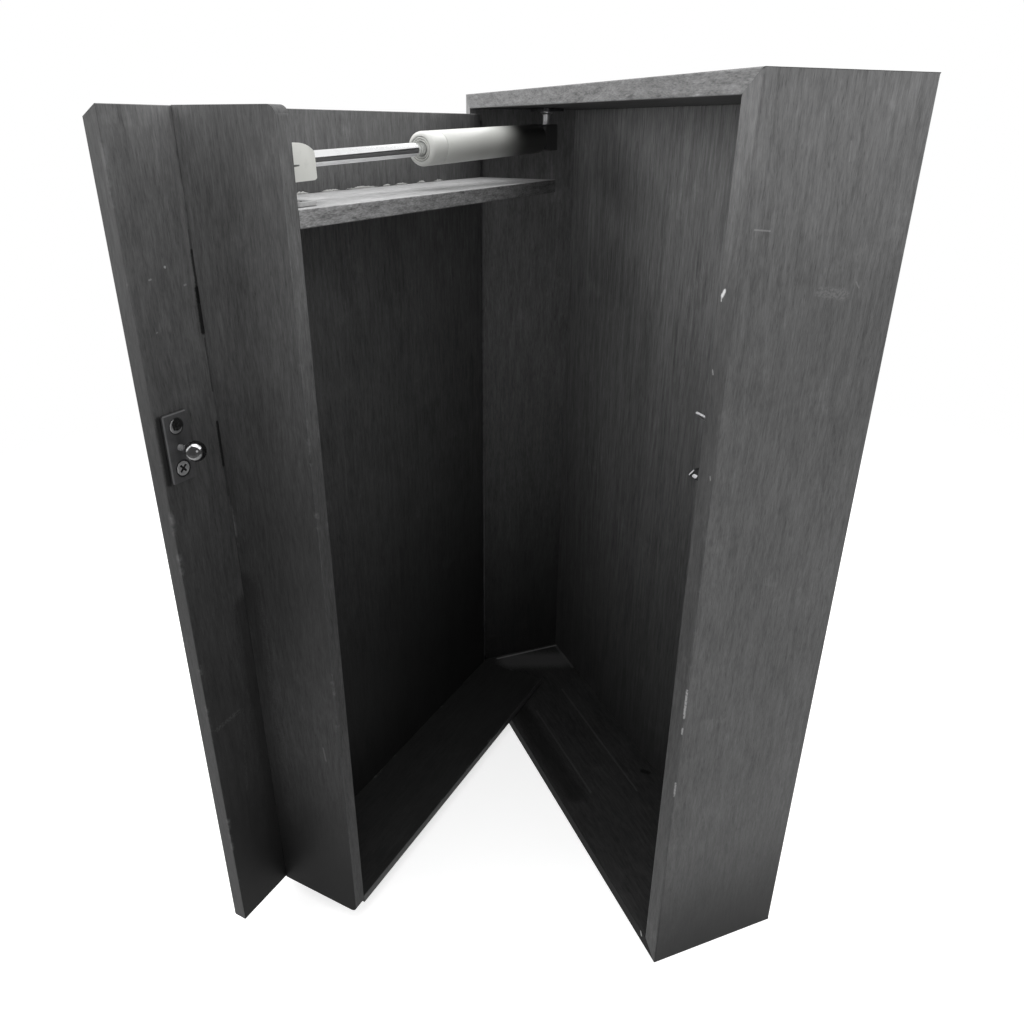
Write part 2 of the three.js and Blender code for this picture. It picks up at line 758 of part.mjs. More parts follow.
add(shelf, 'box_hinge_side_board', cut(
  alongY(outline(hingeEdge), 0, shelfDepth),
  ...hingeHoles(towardBox, boxHingePlaces),
), stainedWood);
add(shelf, 'box_wide_panel', block(
  hingeBoard + glueLine,
  innerRight - glueLine,
  shelfDepth - widePanel,
  shelfDepth,
  endBoard + glueLine,
  innerTop - glueLine,
), stainedWood);

// The panel has lost its upper front corner on the outside
const wholePanel = block(panelStart, panelEnd, panelOut, panelIn, doorBottom, doorTop);
const knockedPanel = trimmed(
  wholePanel,
  new THREE.Vector3(panelEnd, panelOut, doorTop - knockedCorner),
  new THREE.Vector3(panelEnd, panelIn, doorTop),
  new THREE.Vector3(panelEnd - doorPanel, panelOut, doorTop),
);

// The side board's outline across the tray, its corners at the rim rounded
function sideBoardOutline() {
  const shape = new THREE.Shape();
  const [far, r] = [trayRim - rimCorner, rimCorner];
  shape.moveTo(trayFoot, doorBottom);
  shape.lineTo(far, doorBottom);
  shape.absarc(far, doorBottom + r, r, -Math.PI / 2, 0);
  shape.lineTo(trayRim, doorTop - r);
  shape.absarc(far, doorTop - r, r, 0, Math.PI / 2);
  shape.lineTo(trayFoot, doorTop);
  return shape;
}

// The tray
add(tray, 'door_panel', cut(
  knockedPanel,
  ...hingeHoles(towardTray, trayHingePlaces),
  ...strikeHoles,
), stainedWood);
add(tray, 'tray_side_board', alongX(sideBoardOutline(), sideBoardInner, sideBoardOuter, 6), stainedWood);
add(tray, 'tray_cross_board', cut(
  block(panelStart, sideBoardInner - glueLine, trayFoot, trayRim, crossTop - trayBoard, crossTop),
  ...studHoles().map(onCrossBoard),
), stainedWood);
add(tray, 'tray_bottom_board', block(
  panelStart,
  sideBoardInner - glueLine,
  trayFoot,
  trayRim,
  doorBottom,
  doorBottom + trayBottomBoard,
), stainedWood);

// The continuous hinge
const boxLeaf = moved(hingeLeaf(-1, 0), pinX, pinY, 0);
add(shelf, 'hinge_box_leaf', cut(boxLeaf, ...hingeHoles(towardBox, boxHingePlaces)), zincSteel);
add(tray, 'hinge_tray_leaf', cut(hingeLeaf(1, 1), ...hingeHoles(towardTray, trayHingePlaces)), zincSteel);
const pin = turnedZ([
  [0, hingeStart],
  [hingePinRadius, hingeStart],
  [hingePinRadius, hingeEnd],
  [0, hingeEnd],
], smallSides);
add(shelf, 'hinge_pin', moved(pin, pinX, pinY, 0), zincSteel);
addEach(shelf, 'hinge_box_screw', screwsAt(hingeScrewSize, towardBox, boxHingePlaces), zincSteel);
addEach(tray, 'hinge_tray_screw', screwsAt(hingeScrewSize, towardTray, trayHingePlaces), zincSteel);

// The strut's studs
add(shelf, 'strut_box_plate', underTopBoard(studPlateBody()), darkSteel);
add(shelf, 'strut_box_ball_stud', underTopBoard(ballStud()), zincSteel);
addEach(shelf, 'strut_box_screw', studScrews().map(underTopBoard), darkSteel);
add(tray, 'strut_tray_plate', onCrossBoard(studPlateBody()), darkSteel);
add(tray, 'strut_tray_ball_stud', onCrossBoard(ballStud()), zincSteel);
addEach(tray, 'strut_tray_screw', studScrews().map(onCrossBoard), darkSteel);

// The strut
const strut = new THREE.Group();
strut.position.copy(boxBall);
strut.rotation.set(0, -strutSlope, strutHeading, 'ZYX');
shelf.add(strut);
add(strut, 'strut_box_socket', boxSocket(), whitePlastic);
add(strut, 'strut_end_plug', strutPlug(), zincSteel);
add(strut, 'strut_tube', strutTube(), whitePlastic);
add(strut, 'strut_nose_cap', strutCap(), whitePlastic);
const guideRing = ringX(rodRadius + seatGap, boreRadius - seatGap, guideEnd, spigotEnd - seatGap, plainSides);
add(strut, 'strut_rod_guide', guideRing, zincSteel);
const sealRing = ringX(rodRadius + seatGap, boreRadius - seatGap, sealEnd, guideEnd - seatGap, plainSides);
add(strut, 'strut_rod_seal', sealRing, blackRubber);
const pistonBore = rodThreadRadius - 0.5 + seatGap;
const pistonRing = ringX(pistonBore, boreRadius - runGap, pistonFront - pistonLength, pistonFront, plainSides);
add(strut, 'strut_piston', pistonRing, zincSteel);
add(strut, 'strut_rod', strutRod(), chromeSteel);
add(strut, 'strut_tray_socket', traySocket(), whitePlastic);

// The strike
add(tray, 'strike_plate', strikePlateBody(), darkSteel);
add(tray, 'strike_ball_stud', strikeStud(), chromeSteel);
addEach(tray, 'strike_screw', screwsAt(strikeScrewSize, away, strikeScrewPlaces), zincSteel);

// The catch
const jawPins = [-1, 1].map((side) => (
  moved(rodX(jawPinRadius, catchNear, catchFar - seatGap, smallSides), 0, jawPinDepth, side * jawPinOffset)
));
add(shelf, 'catch_body', inCatch(catchBody()), zincSteel);
addEach(shelf, 'catch_pin', jawPins.map(inCatch), zincSteel);
addEach(shelf, 'catch_screw', screwsAt(catchScrewSize, towardTray, catchScrewPlaces).map(inCatch), zincSteel);
for (const [word, side] of [['upper', 1], ['lower', -1]]) {
  add(shelf, `catch_${word}_jaw`, inCatch(jaw(side)), zincSteel);
  add(shelf, `catch_${word}_spring`, inCatch(jawSpring(side)), zincSteel);
}

export default shelf;
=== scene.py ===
import math

import bmesh
import bpy
from mathutils import Euler, Matrix, Vector


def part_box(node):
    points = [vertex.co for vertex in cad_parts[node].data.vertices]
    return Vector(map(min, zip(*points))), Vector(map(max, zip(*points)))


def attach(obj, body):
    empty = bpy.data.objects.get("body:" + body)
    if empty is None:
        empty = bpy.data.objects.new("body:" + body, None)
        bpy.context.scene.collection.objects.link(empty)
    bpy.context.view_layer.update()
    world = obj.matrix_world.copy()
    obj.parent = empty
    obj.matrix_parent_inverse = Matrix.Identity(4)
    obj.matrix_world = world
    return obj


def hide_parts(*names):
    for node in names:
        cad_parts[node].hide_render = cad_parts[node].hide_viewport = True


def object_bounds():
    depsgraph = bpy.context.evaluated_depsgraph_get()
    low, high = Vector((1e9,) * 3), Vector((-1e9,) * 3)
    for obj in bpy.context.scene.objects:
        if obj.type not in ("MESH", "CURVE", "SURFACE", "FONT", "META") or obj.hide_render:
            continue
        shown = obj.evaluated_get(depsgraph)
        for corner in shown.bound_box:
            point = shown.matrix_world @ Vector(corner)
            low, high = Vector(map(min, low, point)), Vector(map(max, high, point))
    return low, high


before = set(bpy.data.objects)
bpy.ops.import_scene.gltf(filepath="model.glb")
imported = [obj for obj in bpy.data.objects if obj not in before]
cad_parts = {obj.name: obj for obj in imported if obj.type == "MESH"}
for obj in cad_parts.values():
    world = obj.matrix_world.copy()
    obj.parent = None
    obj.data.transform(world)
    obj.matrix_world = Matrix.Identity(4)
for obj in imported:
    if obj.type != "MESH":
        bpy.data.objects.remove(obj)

cadBox = [[float(value) for value in corner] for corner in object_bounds()]
mm = 0.001
scene = bpy.context.scene

# The tray stands open: its own frame has x along the panel, y from the panel into the hollow
trayPlace = dict(hingeLine=(-0.1544, -0.0447, 0.0), heading=math.radians(-49.7))
trayFrame = Matrix.Translation(trayPlace["hingeLine"]) @ Matrix.Rotation(trayPlace["heading"], 4, "Z")


def grey(level):
    share = level / 255
    return share / 12.92 if share <= 0.04045 else ((share + 0.055) / 1.055) ** 2.4


# Short ways to place and wire nodes, for materials and for Geometry Nodes alike
def addNode(tree, kind, inputs=None, **settings):
    node = tree.nodes.new(kind)
    for key, value in settings.items():
        setattr(node, key, value)
    plug(tree, node, inputs or {})
    return node


def plug(tree, node, inputs):
    for key, value in inputs.items():
        feed(tree, node.inputs[key], value)


def feed(tree, socket, value):
    if isinstance(value, bpy.types.NodeSocket):
        tree.links.new(value, socket)
    else:
        socket.default_value = value


def maths(tree, operation, *values, clamp=False):
    return addNode(tree, "ShaderNodeMath", dict(enumerate(values)), operation=operation, use_clamp=clamp).outputs[0]


def times(tree, *values):
    return maths(tree, "MULTIPLY", *values)


def plus(tree, *values):
    return maths(tree, "ADD", *values)


def minus(tree, *values):
    return maths(tree, "SUBTRACT", *values)


def vectors(tree, operation, *values, result=0, **named):
    inputs = {**dict(enumerate(values)), **named}
    return addNode(tree, "ShaderNodeVectorMath", inputs, operation=operation).outputs[result]


def ramp(tree, value, low, high, start=0.0, end=1.0):
    inputs = {"Value": value, "From Min": low, "From Max": high, "To Min": start, "To Max": end}
    return addNode(tree, "ShaderNodeMapRange", inputs, interpolation_type="SMOOTHSTEP").outputs["Result"]


def mixNumber(tree, share, first, second):
    return addNode(tree, "ShaderNodeMix", {0: share, 2: first, 3: second}, data_type="FLOAT").outputs[0]


def noiseOf(tree, vector, scale, detail=2.0, roughness=0.5, seed=0.0):
    inputs = {"Vector": vector, "Scale": scale, "Detail": detail, "Roughness": roughness, "W": seed}
    return addNode(tree, "ShaderNodeTexNoise", inputs, noise_dimensions="4D")


# An input without a value, or with three, is a vector; the rest are numbers
def newGroup(name, inputs, outputs):
    tree = bpy.data.node_groups.new(name, "ShaderNodeTree")
    for label, start in inputs.items():
        kind = "NodeSocketFloat" if isinstance(start, float) else "NodeSocketVector"
        socket = tree.interface.new_socket(name=label, in_out="INPUT", socket_type=kind)
        if start is not None:
            socket.default_value = start
    for label in outputs:
        tree.interface.new_socket(name=label, in_out="OUTPUT", socket_type="NodeSocketFloat")
    return tree, tree.nodes.new("NodeGroupInput").outputs, tree.nodes.new("NodeGroupOutput").inputs


def useGroup(tree, group, **values):
    return addNode(tree, "ShaderNodeGroup", values, node_tree=group).outputs


# Long grain: short fibres and longer streaks, blotches of stain and open pores
def makeBoardGrain():
    tree, given, result = newGroup("boardGrain", {
        "Vector": None, "Stretch": (1700, 1700, 90), "Warp": 0.001, "Cloud": 0.6, "Seed": 0.0,
    }, ["Streaks", "Bands", "Pores"])
    sway = noiseOf(tree, given["Vector"], 14.0, 1.0, seed=given["Seed"]).outputs["Color"]
    offset = vectors(tree, "SUBTRACT", sway, (0.5, 0.5, 0.5))
    bent = vectors(tree, "ADD", given["Vector"], vectors(tree, "SCALE", offset, Scale=given["Warp"]))
    drawn = vectors(tree, "MULTIPLY", bent, given["Stretch"])
    fibres = noiseOf(tree, drawn, 1.0, 3.0, 0.65, given["Seed"]).outputs[0]
    otherSeed = plus(tree, given["Seed"], 3.7)
    streaks = noiseOf(tree, drawn, 0.27, 2.0, 0.6, otherSeed).outputs[0]
    feed(tree, result["Streaks"], mixNumber(tree, 0.45, fibres, streaks))
    slow = noiseOf(tree, drawn, 0.035, 2.0, 0.55, otherSeed).outputs[0]
    blotch = noiseOf(tree, given["Vector"], 34.0, 4.0, 0.6, given["Seed"]).outputs[0]
    feed(tree, result["Bands"], mixNumber(tree, given["Cloud"], slow, blotch))
    pits = noiseOf(tree, drawn, 1.6, 1.0, 0.5, otherSeed).outputs[0]
    feed(tree, result["Pores"], ramp(tree, pits, 0.6, 0.74))
    return tree


# Where handling has rubbed a board's long edges, from the box that the board or case fills
def makeEdgeRub():
    tree, given, result = newGroup("edgeRub", {
        "Vector": None, "Low": (0, 0, 0), "High": (1, 1, 1), "Reach": 0.002, "Cover": 0.5, "Seed": 0.0,
    }, ["Rub"])
    toLow = vectors(tree, "SUBTRACT", given["Vector"], given["Low"])
    toHigh = vectors(tree, "SUBTRACT", given["High"], given["Vector"])
    near = vectors(tree, "ABSOLUTE", vectors(tree, "MINIMUM", toLow, toHigh))
    parts = addNode(tree, "ShaderNodeSeparateXYZ", {0: near}).outputs
    lesser = maths(tree, "MINIMUM", parts[0], parts[1])
    greater = maths(tree, "MAXIMUM", parts[0], parts[1])
    distance = maths(tree, "MAXIMUM", lesser, maths(tree, "MINIMUM", greater, parts[2]))
    patchy = noiseOf(tree, given["Vector"], 55.0, 4.0, 0.65, given["Seed"]).outputs[0]
    shut = minus(tree, 1.0, given["Cover"])
    shown = ramp(tree, patchy, minus(tree, shut, 0.04), plus(tree, shut, 0.1))
    reach = times(tree, given["Reach"], plus(tree, 0.3, patchy))
    worn = ramp(tree, distance, 0.0, reach, 1.0, 0.0)
    feed(tree, result["Rub"], times(tree, shown, worn))
    return tree


# One knock, scratch or smear between two points
def makeStrokeMark():
    tree, given, result = newGroup("strokeMark", {
        "Vector": None, "From": (0, 0, 0), "To": (0, 0, 0), "Width": 0.001, "Ragged": 1.2, "Solid": 0.5, "Core": 0.3,
    }, ["Mark"])
    run = vectors(tree, "SUBTRACT", given["To"], given["From"])
    there = vectors(tree, "SUBTRACT", given["Vector"], given["From"])
    length = maths(tree, "MAXIMUM", vectors(tree, "DOT_PRODUCT", run, run, result=1), 1e-9)
    along = maths(tree, "DIVIDE", vectors(tree, "DOT_PRODUCT", there, run, result=1), length, clamp=True)
    off = vectors(tree, "SUBTRACT", there, vectors(tree, "SCALE", run, Scale=along))
    grain = noiseOf(tree, given["Vector"], 900.0, 2.0, 0.6).outputs[0]
    wobble = times(tree, minus(tree, grain, 0.5), given["Ragged"])
    distance = vectors(tree, "LENGTH", off, result=1)
    width = times(tree, given["Width"], plus(tree, 1.0, wobble))
    solid = ramp(tree, distance, times(tree, width, given["Core"]), width, 1.0, 0.0)
    gaps = ramp(tree, grain, minus(tree, 0.5, given["Solid"]), minus(tree, 0.68, given["Solid"]))
    feed(tree, result["Mark"], times(tree, solid, gaps))
    return tree


# Dust flecks and faint scuffs that lie anywhere
def makeHandling():
    tree, given, result = newGroup("handling", {
        "Vector": None, "Fleck Scale": 60.0, "Fleck Size": 0.05, "Share": 0.1, "Scuff Scale": 30.0, "Seed": 0.0,
    }, ["Flecks", "Scuffs"])
    spots = {"Vector": given["Vector"], "Scale": given["Fleck Scale"], "W": given["Seed"]}
    cells = addNode(tree, "ShaderNodeTexVoronoi", spots, voronoi_dimensions="4D")
    pick = addNode(tree, "ShaderNodeSeparateColor", {0: cells.outputs["Color"]}).outputs[0]
    chosen = maths(tree, "LESS_THAN", pick, given["Share"])
    dot = ramp(tree, cells.outputs["Distance"], times(tree, given["Fleck Size"], 0.4),
               given["Fleck Size"], 1.0, 0.0)
    feed(tree, result["Flecks"], times(tree, chosen, dot))
    cloud = noiseOf(tree, given["Vector"], given["Scuff Scale"], 5.0, 0.7, given["Seed"]).outputs[0]
    feed(tree, result["Scuffs"], ramp(tree, cloud, 0.56, 0.74))
    return tree


# Rolled, turned or plated metal: tone, gloss and tiny relief
def makeMetalSkin():
    tree, given, result = newGroup("metalSkin", {
        "Vector": None, "Draw": (400, 400, 400), "Depth": 0.2, "Gloss": 0.3, "Stain": 0.2,
    }, ["Tone", "Roughness", "Height"])
    drawn = vectors(tree, "MULTIPLY", given["Vector"], given["Draw"])
    lines = noiseOf(tree, drawn, 1.0, 3.0, 0.6).outputs[0]
    cloud = noiseOf(tree, given["Vector"], 160.0, 3.0, 0.6, 2.0).outputs[0]
    spread = times(tree, minus(tree, lines, 0.5), given["Depth"])
    dull = times(tree, ramp(tree, cloud, 0.45, 0.75), given["Stain"])
    feed(tree, result["Tone"], minus(tree, plus(tree, 1.0, spread), dull))
    rough = times(tree, given["Gloss"], plus(tree, 0.75, times(tree, lines, 0.5)))
    feed(tree, result["Roughness"], plus(tree, rough, times(tree, dull, 0.5)))
    feed(tree, result["Height"], lines)
    return tree


# Moulded plastic: slow mottling, handling grime and a fine skin
def makeMouldedSkin():
    tree, given, result = newGroup("mouldedSkin", {
        "Vector": None, "Mottle": 0.06, "Grime": 0.1, "Gloss": 0.3,
    }, ["Tone", "Roughness", "Height"])
    slow = noiseOf(tree, given["Vector"], 70.0, 3.0, 0.55).outputs[0]
    fine = noiseOf(tree, given["Vector"], 1400.0, 2.0, 0.6).outputs[0]
    smut = ramp(tree, noiseOf(tree, given["Vector"], 220.0, 4.0, 0.7, 5.0).outputs[0], 0.55, 0.78)
    cloud = times(tree, minus(tree, slow, 0.5), given["Mottle"])
    dirt = times(tree, smut, given["Grime"])
    feed(tree, result["Tone"], minus(tree, plus(tree, 1.0, cloud), dirt))
    feed(tree, result["Roughness"], plus(tree, given["Gloss"], times(tree, fine, 0.12)))
    feed(tree, result["Height"], fine)
    return tree


boardGrain = makeBoardGrain()
edgeRub = makeEdgeRub()
strokeMark = makeStrokeMark()
handling = makeHandling()
metalSkin = makeMetalSkin()
mouldedSkin = makeMouldedSkin()
print("shader groups ready")


def newMaterial(name):
    material = bpy.data.materials.new(name)
    material.use_nodes = True
    tree = material.node_tree
    shader = next(node for node in tree.nodes if node.type == "BSDF_PRINCIPLED")
    place = addNode(tree, "ShaderNodeTexCoord").outputs["Object"]
    return material, tree, shader, place


# The object's own coordinates, turned into the open tray's frame
def inTray(tree, place):
    inputs = {"Vector": place, "Location": trayPlace["hingeLine"], "Rotation": (0, 0, trayPlace["heading"])}
    return addNode(tree, "ShaderNodeMapping", inputs, vector_type="TEXTURE").outputs[0]


def tinted(tree, value, tint):
    return vectors(tree, "SCALE", tint, Scale=value)


def bumped(tree, height, strength, distance):
    return addNode(tree, "ShaderNodeBump", {"Height": height, "Strength": strength, "Distance": distance}).outputs[0]


# Black-stained wood; each board's look adds to this or overrules it
stain = dict(pitch=1800, stretch=210, warp=0.003, streaks=1.08, bands=0.42, cloud=0.6, poreDepth=0.25,
             tint=(1.0, 1.0, 1.005), roughness=0.5, streakRough=0.16, gloss=0.22, bump=0.5, relief=0.00006,
             rubReach=0.003, rubCover=0.4, rubDepth=0.3, rubRough=0.3, rubTone=grey(150),
             flecks=0.02, fleckShare=0.6, fleckTone=grey(170), scuffShare=0.3, scuffGain=2.0,
             rimStreaks=1.1, rimWarp=0.006, rimSeed=9, shadeFades=(), marks=())


# Noise scales that draw the figure out along the grain
def drawnOut(look, slow):
    return tuple(slow if axis == look["grain"] else look["pitch"] for axis in "xyz")


# A number that swings about nothing, from a noise between 0 and 1
def swung(tree, noise, depth):
    return times(tree, minus(tree, noise, 0.5), depth * 2)


# Painted light and shade: the tone made darker or paler toward one end, as light falls on the board
def withPaintedShade(tree, tone, parts, shadeFades):
    for axis, start, end, first, last in shadeFades:
        tone = times(tree, tone, ramp(tree, parts["xyz".index(axis)], start, end, first, last))
    return tone


# 1 past a plane across an axis, else 0
def past(tree, parts, axis, edge, below=False):
    return maths(tree, "LESS_THAN" if below else "GREATER_THAN", parts["xyz".index(axis)], edge)


# Marks on one flat face: two ends in its plane, width, strength, grey level and, if it breaks up, how solid
def onFace(axis, place, *rows):
    marks = []
    for row in rows:
        ends = [list(row[:2]), list(row[2:4])]
        for end in ends:
            end.insert("xyz".index(axis), place)
        marks.append((*ends, *row[4:6], grey(row[6]), *row[7:]))
    return marks


def marked(tree, place, tone, marks, ragged=1.2, core=0.3):
    for start, end, width, strength, markTone, *solid in marks:
        mark = useGroup(tree, strokeMark, Vector=place, From=start, To=end, Width=width, Ragged=ragged, Core=core,
                        Solid=solid[0] if solid else 0.5)["Mark"]
        tone = mixNumber(tree, times(tree, mark, strength), tone, markTone)
    return tone


def stainedWood(name, look):
    look = {**stain, **look}
    material, tree, shader, place = newMaterial(name)
    local = inTray(tree, place) if look.get("tray") else place
    parts = addNode(tree, "ShaderNodeSeparateXYZ", {0: local}).outputs
    grain = useGroup(tree, boardGrain, Vector=local, Stretch=drawnOut(look, look["stretch"]), Warp=look["warp"],
                     Cloud=look["cloud"], Seed=look["seed"])
    rub = useGroup(tree, edgeRub, Vector=local, Low=look["low"], High=look["high"], Reach=look["rubReach"],
                   Cover=look["rubCover"], Seed=look["seed"])
    dust = useGroup(tree, handling, Vector=local, Seed=look["seed"], Share=look["flecks"])
    swing = swung(tree, grain["Streaks"], look["streaks"])
    sweep = swung(tree, grain["Bands"], look["bands"])
    pores = times(tree, grain["Pores"], -look["poreDepth"])
    figure = plus(tree, plus(tree, 1.0, swing), plus(tree, sweep, pores))
    wood = times(tree, figure, look["tone"])
    tone = withPaintedShade(tree, wood, parts, look["shadeFades"])
    # A strip past the tray's side board has painted light and shade fades of its own
    if "margin" in look:
        axis, edge, shadeFades = look["margin"]
        tone = mixNumber(tree, past(tree, parts, axis, edge), tone, withPaintedShade(tree, wood, parts, shadeFades))
    # The sawn rim, which took the stain less, is picked out by its place
    if "rim" in look:
        axis, edge, rimTone = look["rim"]
        share = past(tree, parts, axis, edge, below=edge < 0)
        sawn = useGroup(tree, boardGrain, Vector=local, Seed=look["seed"] + look["rimSeed"], Warp=look["rimWarp"],
                        Stretch=drawnOut(look, look.get("rimStretch", look["stretch"])))
        fleck = swung(tree, sawn["Streaks"], look["rimStreaks"])
        rim = times(tree, plus(tree, plus(tree, 1.0, fleck), pores), rimTone)
        tone = mixNumber(tree, share, tone, withPaintedShade(tree, rim, parts, look.get("rimShadeFades", look["shadeFades"])))
    # A face that the opened shelf hides, where the stain is even
    if "bare" in look:
        axis, edge, side, bareTone = look["bare"]
        hidden = past(tree, parts, axis, edge, below=side == "below")
        tone = mixNumber(tree, hidden, tone, times(tree, figure, bareTone))
    scuffed = times(tree, dust["Scuffs"], look["scuffShare"])
    tone = mixNumber(tree, scuffed, tone, times(tree, tone, look["scuffGain"]))
    rubbed = times(tree, rub["Rub"], look["rubDepth"])
    tone = mixNumber(tree, rubbed, tone, look["rubTone"])
    tone = mixNumber(tree, times(tree, dust["Flecks"], look["fleckShare"]), tone, look["fleckTone"])
    tone = marked(tree, local, tone, look["marks"])
    rough = plus(tree, look["roughness"], times(tree, grain["Streaks"], look["streakRough"]))
    height = minus(tree, grain["Streaks"], grain["Pores"])
    plug(tree, shader, {
        "Base Color": tinted(tree, tone, look["tint"]),
        "Roughness": plus(tree, rough, times(tree, rubbed, look["rubRough"])), "Specular IOR Level": look["gloss"],
        "Normal": bumped(tree, height, look["bump"], look["relief"])})
    return material


skinRelief = 0.00003


# A skin group's outputs and a look's marks, whose levels are linear, on a shader
def skinned(tree, shader, skin, look, tone, place, ragged, core, relief):
    marks = [(*ends, level / look["color"][0]) for *ends, level in look.get("marks", [])]
    tone = marked(tree, place, tone, marks, ragged, core)
    plug(tree, shader, {"Base Color": tinted(tree, tone, look["color"]), "Roughness": skin["Roughness"],
                        "Normal": bumped(tree, skin["Height"], relief, skinRelief)})


def metalFinish(name, look):
    material, tree, shader, place = newMaterial(name)
    local = inTray(tree, place) if look.get("tray") else place
    skin = useGroup(tree, metalSkin, Vector=local, Draw=look["draw"], Depth=look["depth"], Gloss=look["roughness"],
                    Stain=look["stain"])
    skinned(tree, shader, skin, look, skin["Tone"], local, ragged=0.2, core=0.8, relief=0.35)
    coat, coatRoughness = look.get("coat", (0.0, 0.03))
    plug(tree, shader, {"Metallic": look.get("metal", 1.0), "Coat Weight": coat, "Coat Roughness": coatRoughness})
    return material


def mouldedFinish(name, look):
    material, tree, shader, place = newMaterial(name)
    skin = useGroup(tree, mouldedSkin, Vector=place, Mottle=look["mottle"], Grime=look["grime"],
                    Gloss=look["roughness"])
    tone = skin["Tone"]
    # Painted shade: the tone darkens or pales along a line from a given point
    if "shadeFade" in look:
        start, end, first, last = look["shadeFade"]
        along = vectors(tree, "DOT_PRODUCT", vectors(tree, "SUBTRACT", place, look["shadeFadeFrom"]), look["shadeFadeLine"],
                        result=1)
        tone = times(tree, tone, ramp(tree, along, start, end, first, last))
    skinned(tree, shader, skin, look, tone, place, ragged=0.3, core=0.6, relief=0.3)
    return material


zincFinish = metalFinish("zincFinish", dict(
    color=(0.52, 0.52, 0.53), roughness=0.34, depth=0.3, stain=0.25, draw=(500, 500, 40)))
hingeFinish = metalFinish("hingeFinish", dict(
    color=(0.16, 0.16, 0.165), roughness=0.45, depth=0.5, stain=0.35, draw=(700, 700, 30)))
blackSteelFinish = metalFinish("blackSteelFinish", dict(
    color=(0.062, 0.062, 0.065), roughness=0.42, depth=0.5, stain=0.3, draw=(900, 900, 60), metal=0.85))
screwFinish = metalFinish("screwFinish", dict(
    color=(0.4, 0.4, 0.405), roughness=0.42, depth=0.4, stain=0.4, draw=(900, 900, 900)))
# Painted shade: a dark patch on the strike's upper screw head, where the real screw sits crooked in its hole
strikeScrewPaintedShade = metalFinish("strikeScrewPaintedShade", dict(
    color=(0.42, 0.42, 0.425), roughness=0.42, depth=0.5, stain=0.4, draw=(900, 900, 900), tray=True,
    marks=[((0.2930, 0.013, 0.3333), (0.2935, 0.013, 0.3328), 0.0034, 0.95, 0.012)]))
# Painted shade and highlights: dark rings round the two screw heads for the shade in their countersinks, and pale lines
# along the plate's left and top edges as painted highlights
strikePlatePaintedLight = metalFinish("strikePlatePaintedLight", dict(
    color=(0.085, 0.085, 0.087), roughness=0.5, depth=0.5, stain=0.3, draw=(900, 900, 60), metal=0.8, tray=True,
    marks=[((0.2942, 0.013, 0.3109), (0.2942, 0.013, 0.3109), 0.0048, 0.95, 0.008),
           ((0.2942, 0.013, 0.3321), (0.2942, 0.013, 0.3321), 0.0046, 0.8, 0.015),
           ((0.3011, 0.013, 0.3050), (0.3011, 0.013, 0.3380), 0.0006, 0.9, 0.17),
           ((0.2880, 0.013, 0.3384), (0.3005, 0.013, 0.3384), 0.0006, 0.9, 0.22)]))
# A neck of bare steel; the ball is painted dark as painted reflection, with painted highlights: a bright arc at its
# top, a dim arc round its lower side and a glint
strikeBallPaintedLight = metalFinish("strikeBallPaintedLight", dict(
    color=(0.42, 0.42, 0.425), roughness=0.24, depth=0.25, stain=0.2, draw=(300, 300, 300), coat=(0.2, 0.06), metal=0.6,
    tray=True, marks=[((0.2942, 0.0232, 0.3215), (0.2942, 0.0232, 0.3215), 0.0062, 1.0, 0.016),
                      ((0.29653, 0.02457, 0.32543), (0.2957, 0.02589, 0.32524), 0.0008, 0.95, 0.8),
                      ((0.2957, 0.02589, 0.32524), (0.29495, 0.02712, 0.32423), 0.0009, 0.95, 0.8),
                      ((0.2987, 0.0227, 0.3230), (0.29737, 0.0241, 0.32502), 0.0006, 0.8, 0.25),
                      ((0.29891, 0.02271, 0.32083), (0.29854, 0.02381, 0.31942), 0.0007, 0.8, 0.2),
                      ((0.29854, 0.02381, 0.31942), (0.29766, 0.02535, 0.31896), 0.0009, 0.8, 0.24),
                      ((0.29766, 0.02535, 0.31896), (0.29659, 0.02692, 0.31958), 0.0009, 0.8, 0.2),
                      ((0.29659, 0.02692, 0.31958), (0.29565, 0.02776, 0.32067), 0.0008, 0.8, 0.14),
                      ((0.29669, 0.02709, 0.32293), (0.29669, 0.02709, 0.32293), 0.0006, 0.8, 0.4)]))
# Near-black finish for the screws' cross recesses
darkRecessFinish = mouldedFinish("darkRecessFinish", dict(color=(0.012, 0.012, 0.012), roughness=0.8, mottle=0.3, grime=0.1))
traySteelFinish = metalFinish("traySteelFinish", dict(
    color=(0.42, 0.42, 0.42), roughness=0.55, depth=0.3, stain=0.2, draw=(500, 500, 40), metal=0.2))
# Painted light: the lower jaw is coloured near black as painted shade in the catch, with painted highlights on its lip
# and on one lobe
lowerJawPaintedLight = metalFinish("lowerJawPaintedLight", dict(
    color=(0.05, 0.05, 0.051), roughness=0.5, depth=0.4, stain=0.2, draw=(500, 40, 500),
    marks=[((0.1289, -0.0316, 0.3056), (0.1291, -0.0292, 0.3078), 0.0008, 1.0, 0.8),
           ((0.1322, -0.0306, 0.3066), (0.1338, -0.0304, 0.3063), 0.0011, 1.0, 0.85)]))
chromeFinish = metalFinish("chromeFinish", dict(
    color=(0.86, 0.865, 0.87), roughness=0.09, depth=0.06, stain=0.06, draw=(300, 300, 300)))
whiteMoulding = mouldedFinish("whiteMoulding", dict(
    color=(0.57, 0.575, 0.55), roughness=0.34, mottle=0.1, grime=0.12))
rubberFinish = mouldedFinish("rubberFinish", dict(color=(0.012, 0.012, 0.012), roughness=0.7, mottle=0.2, grime=0.1))
print("plain finishes ready")


def newPiece(name, mesh, finish=None):
    piece = bpy.data.objects.new(name, mesh)
    scene.collection.objects.link(piece)
    if finish:
        mesh.materials.clear()
        mesh.materials.append(finish)
    return piece


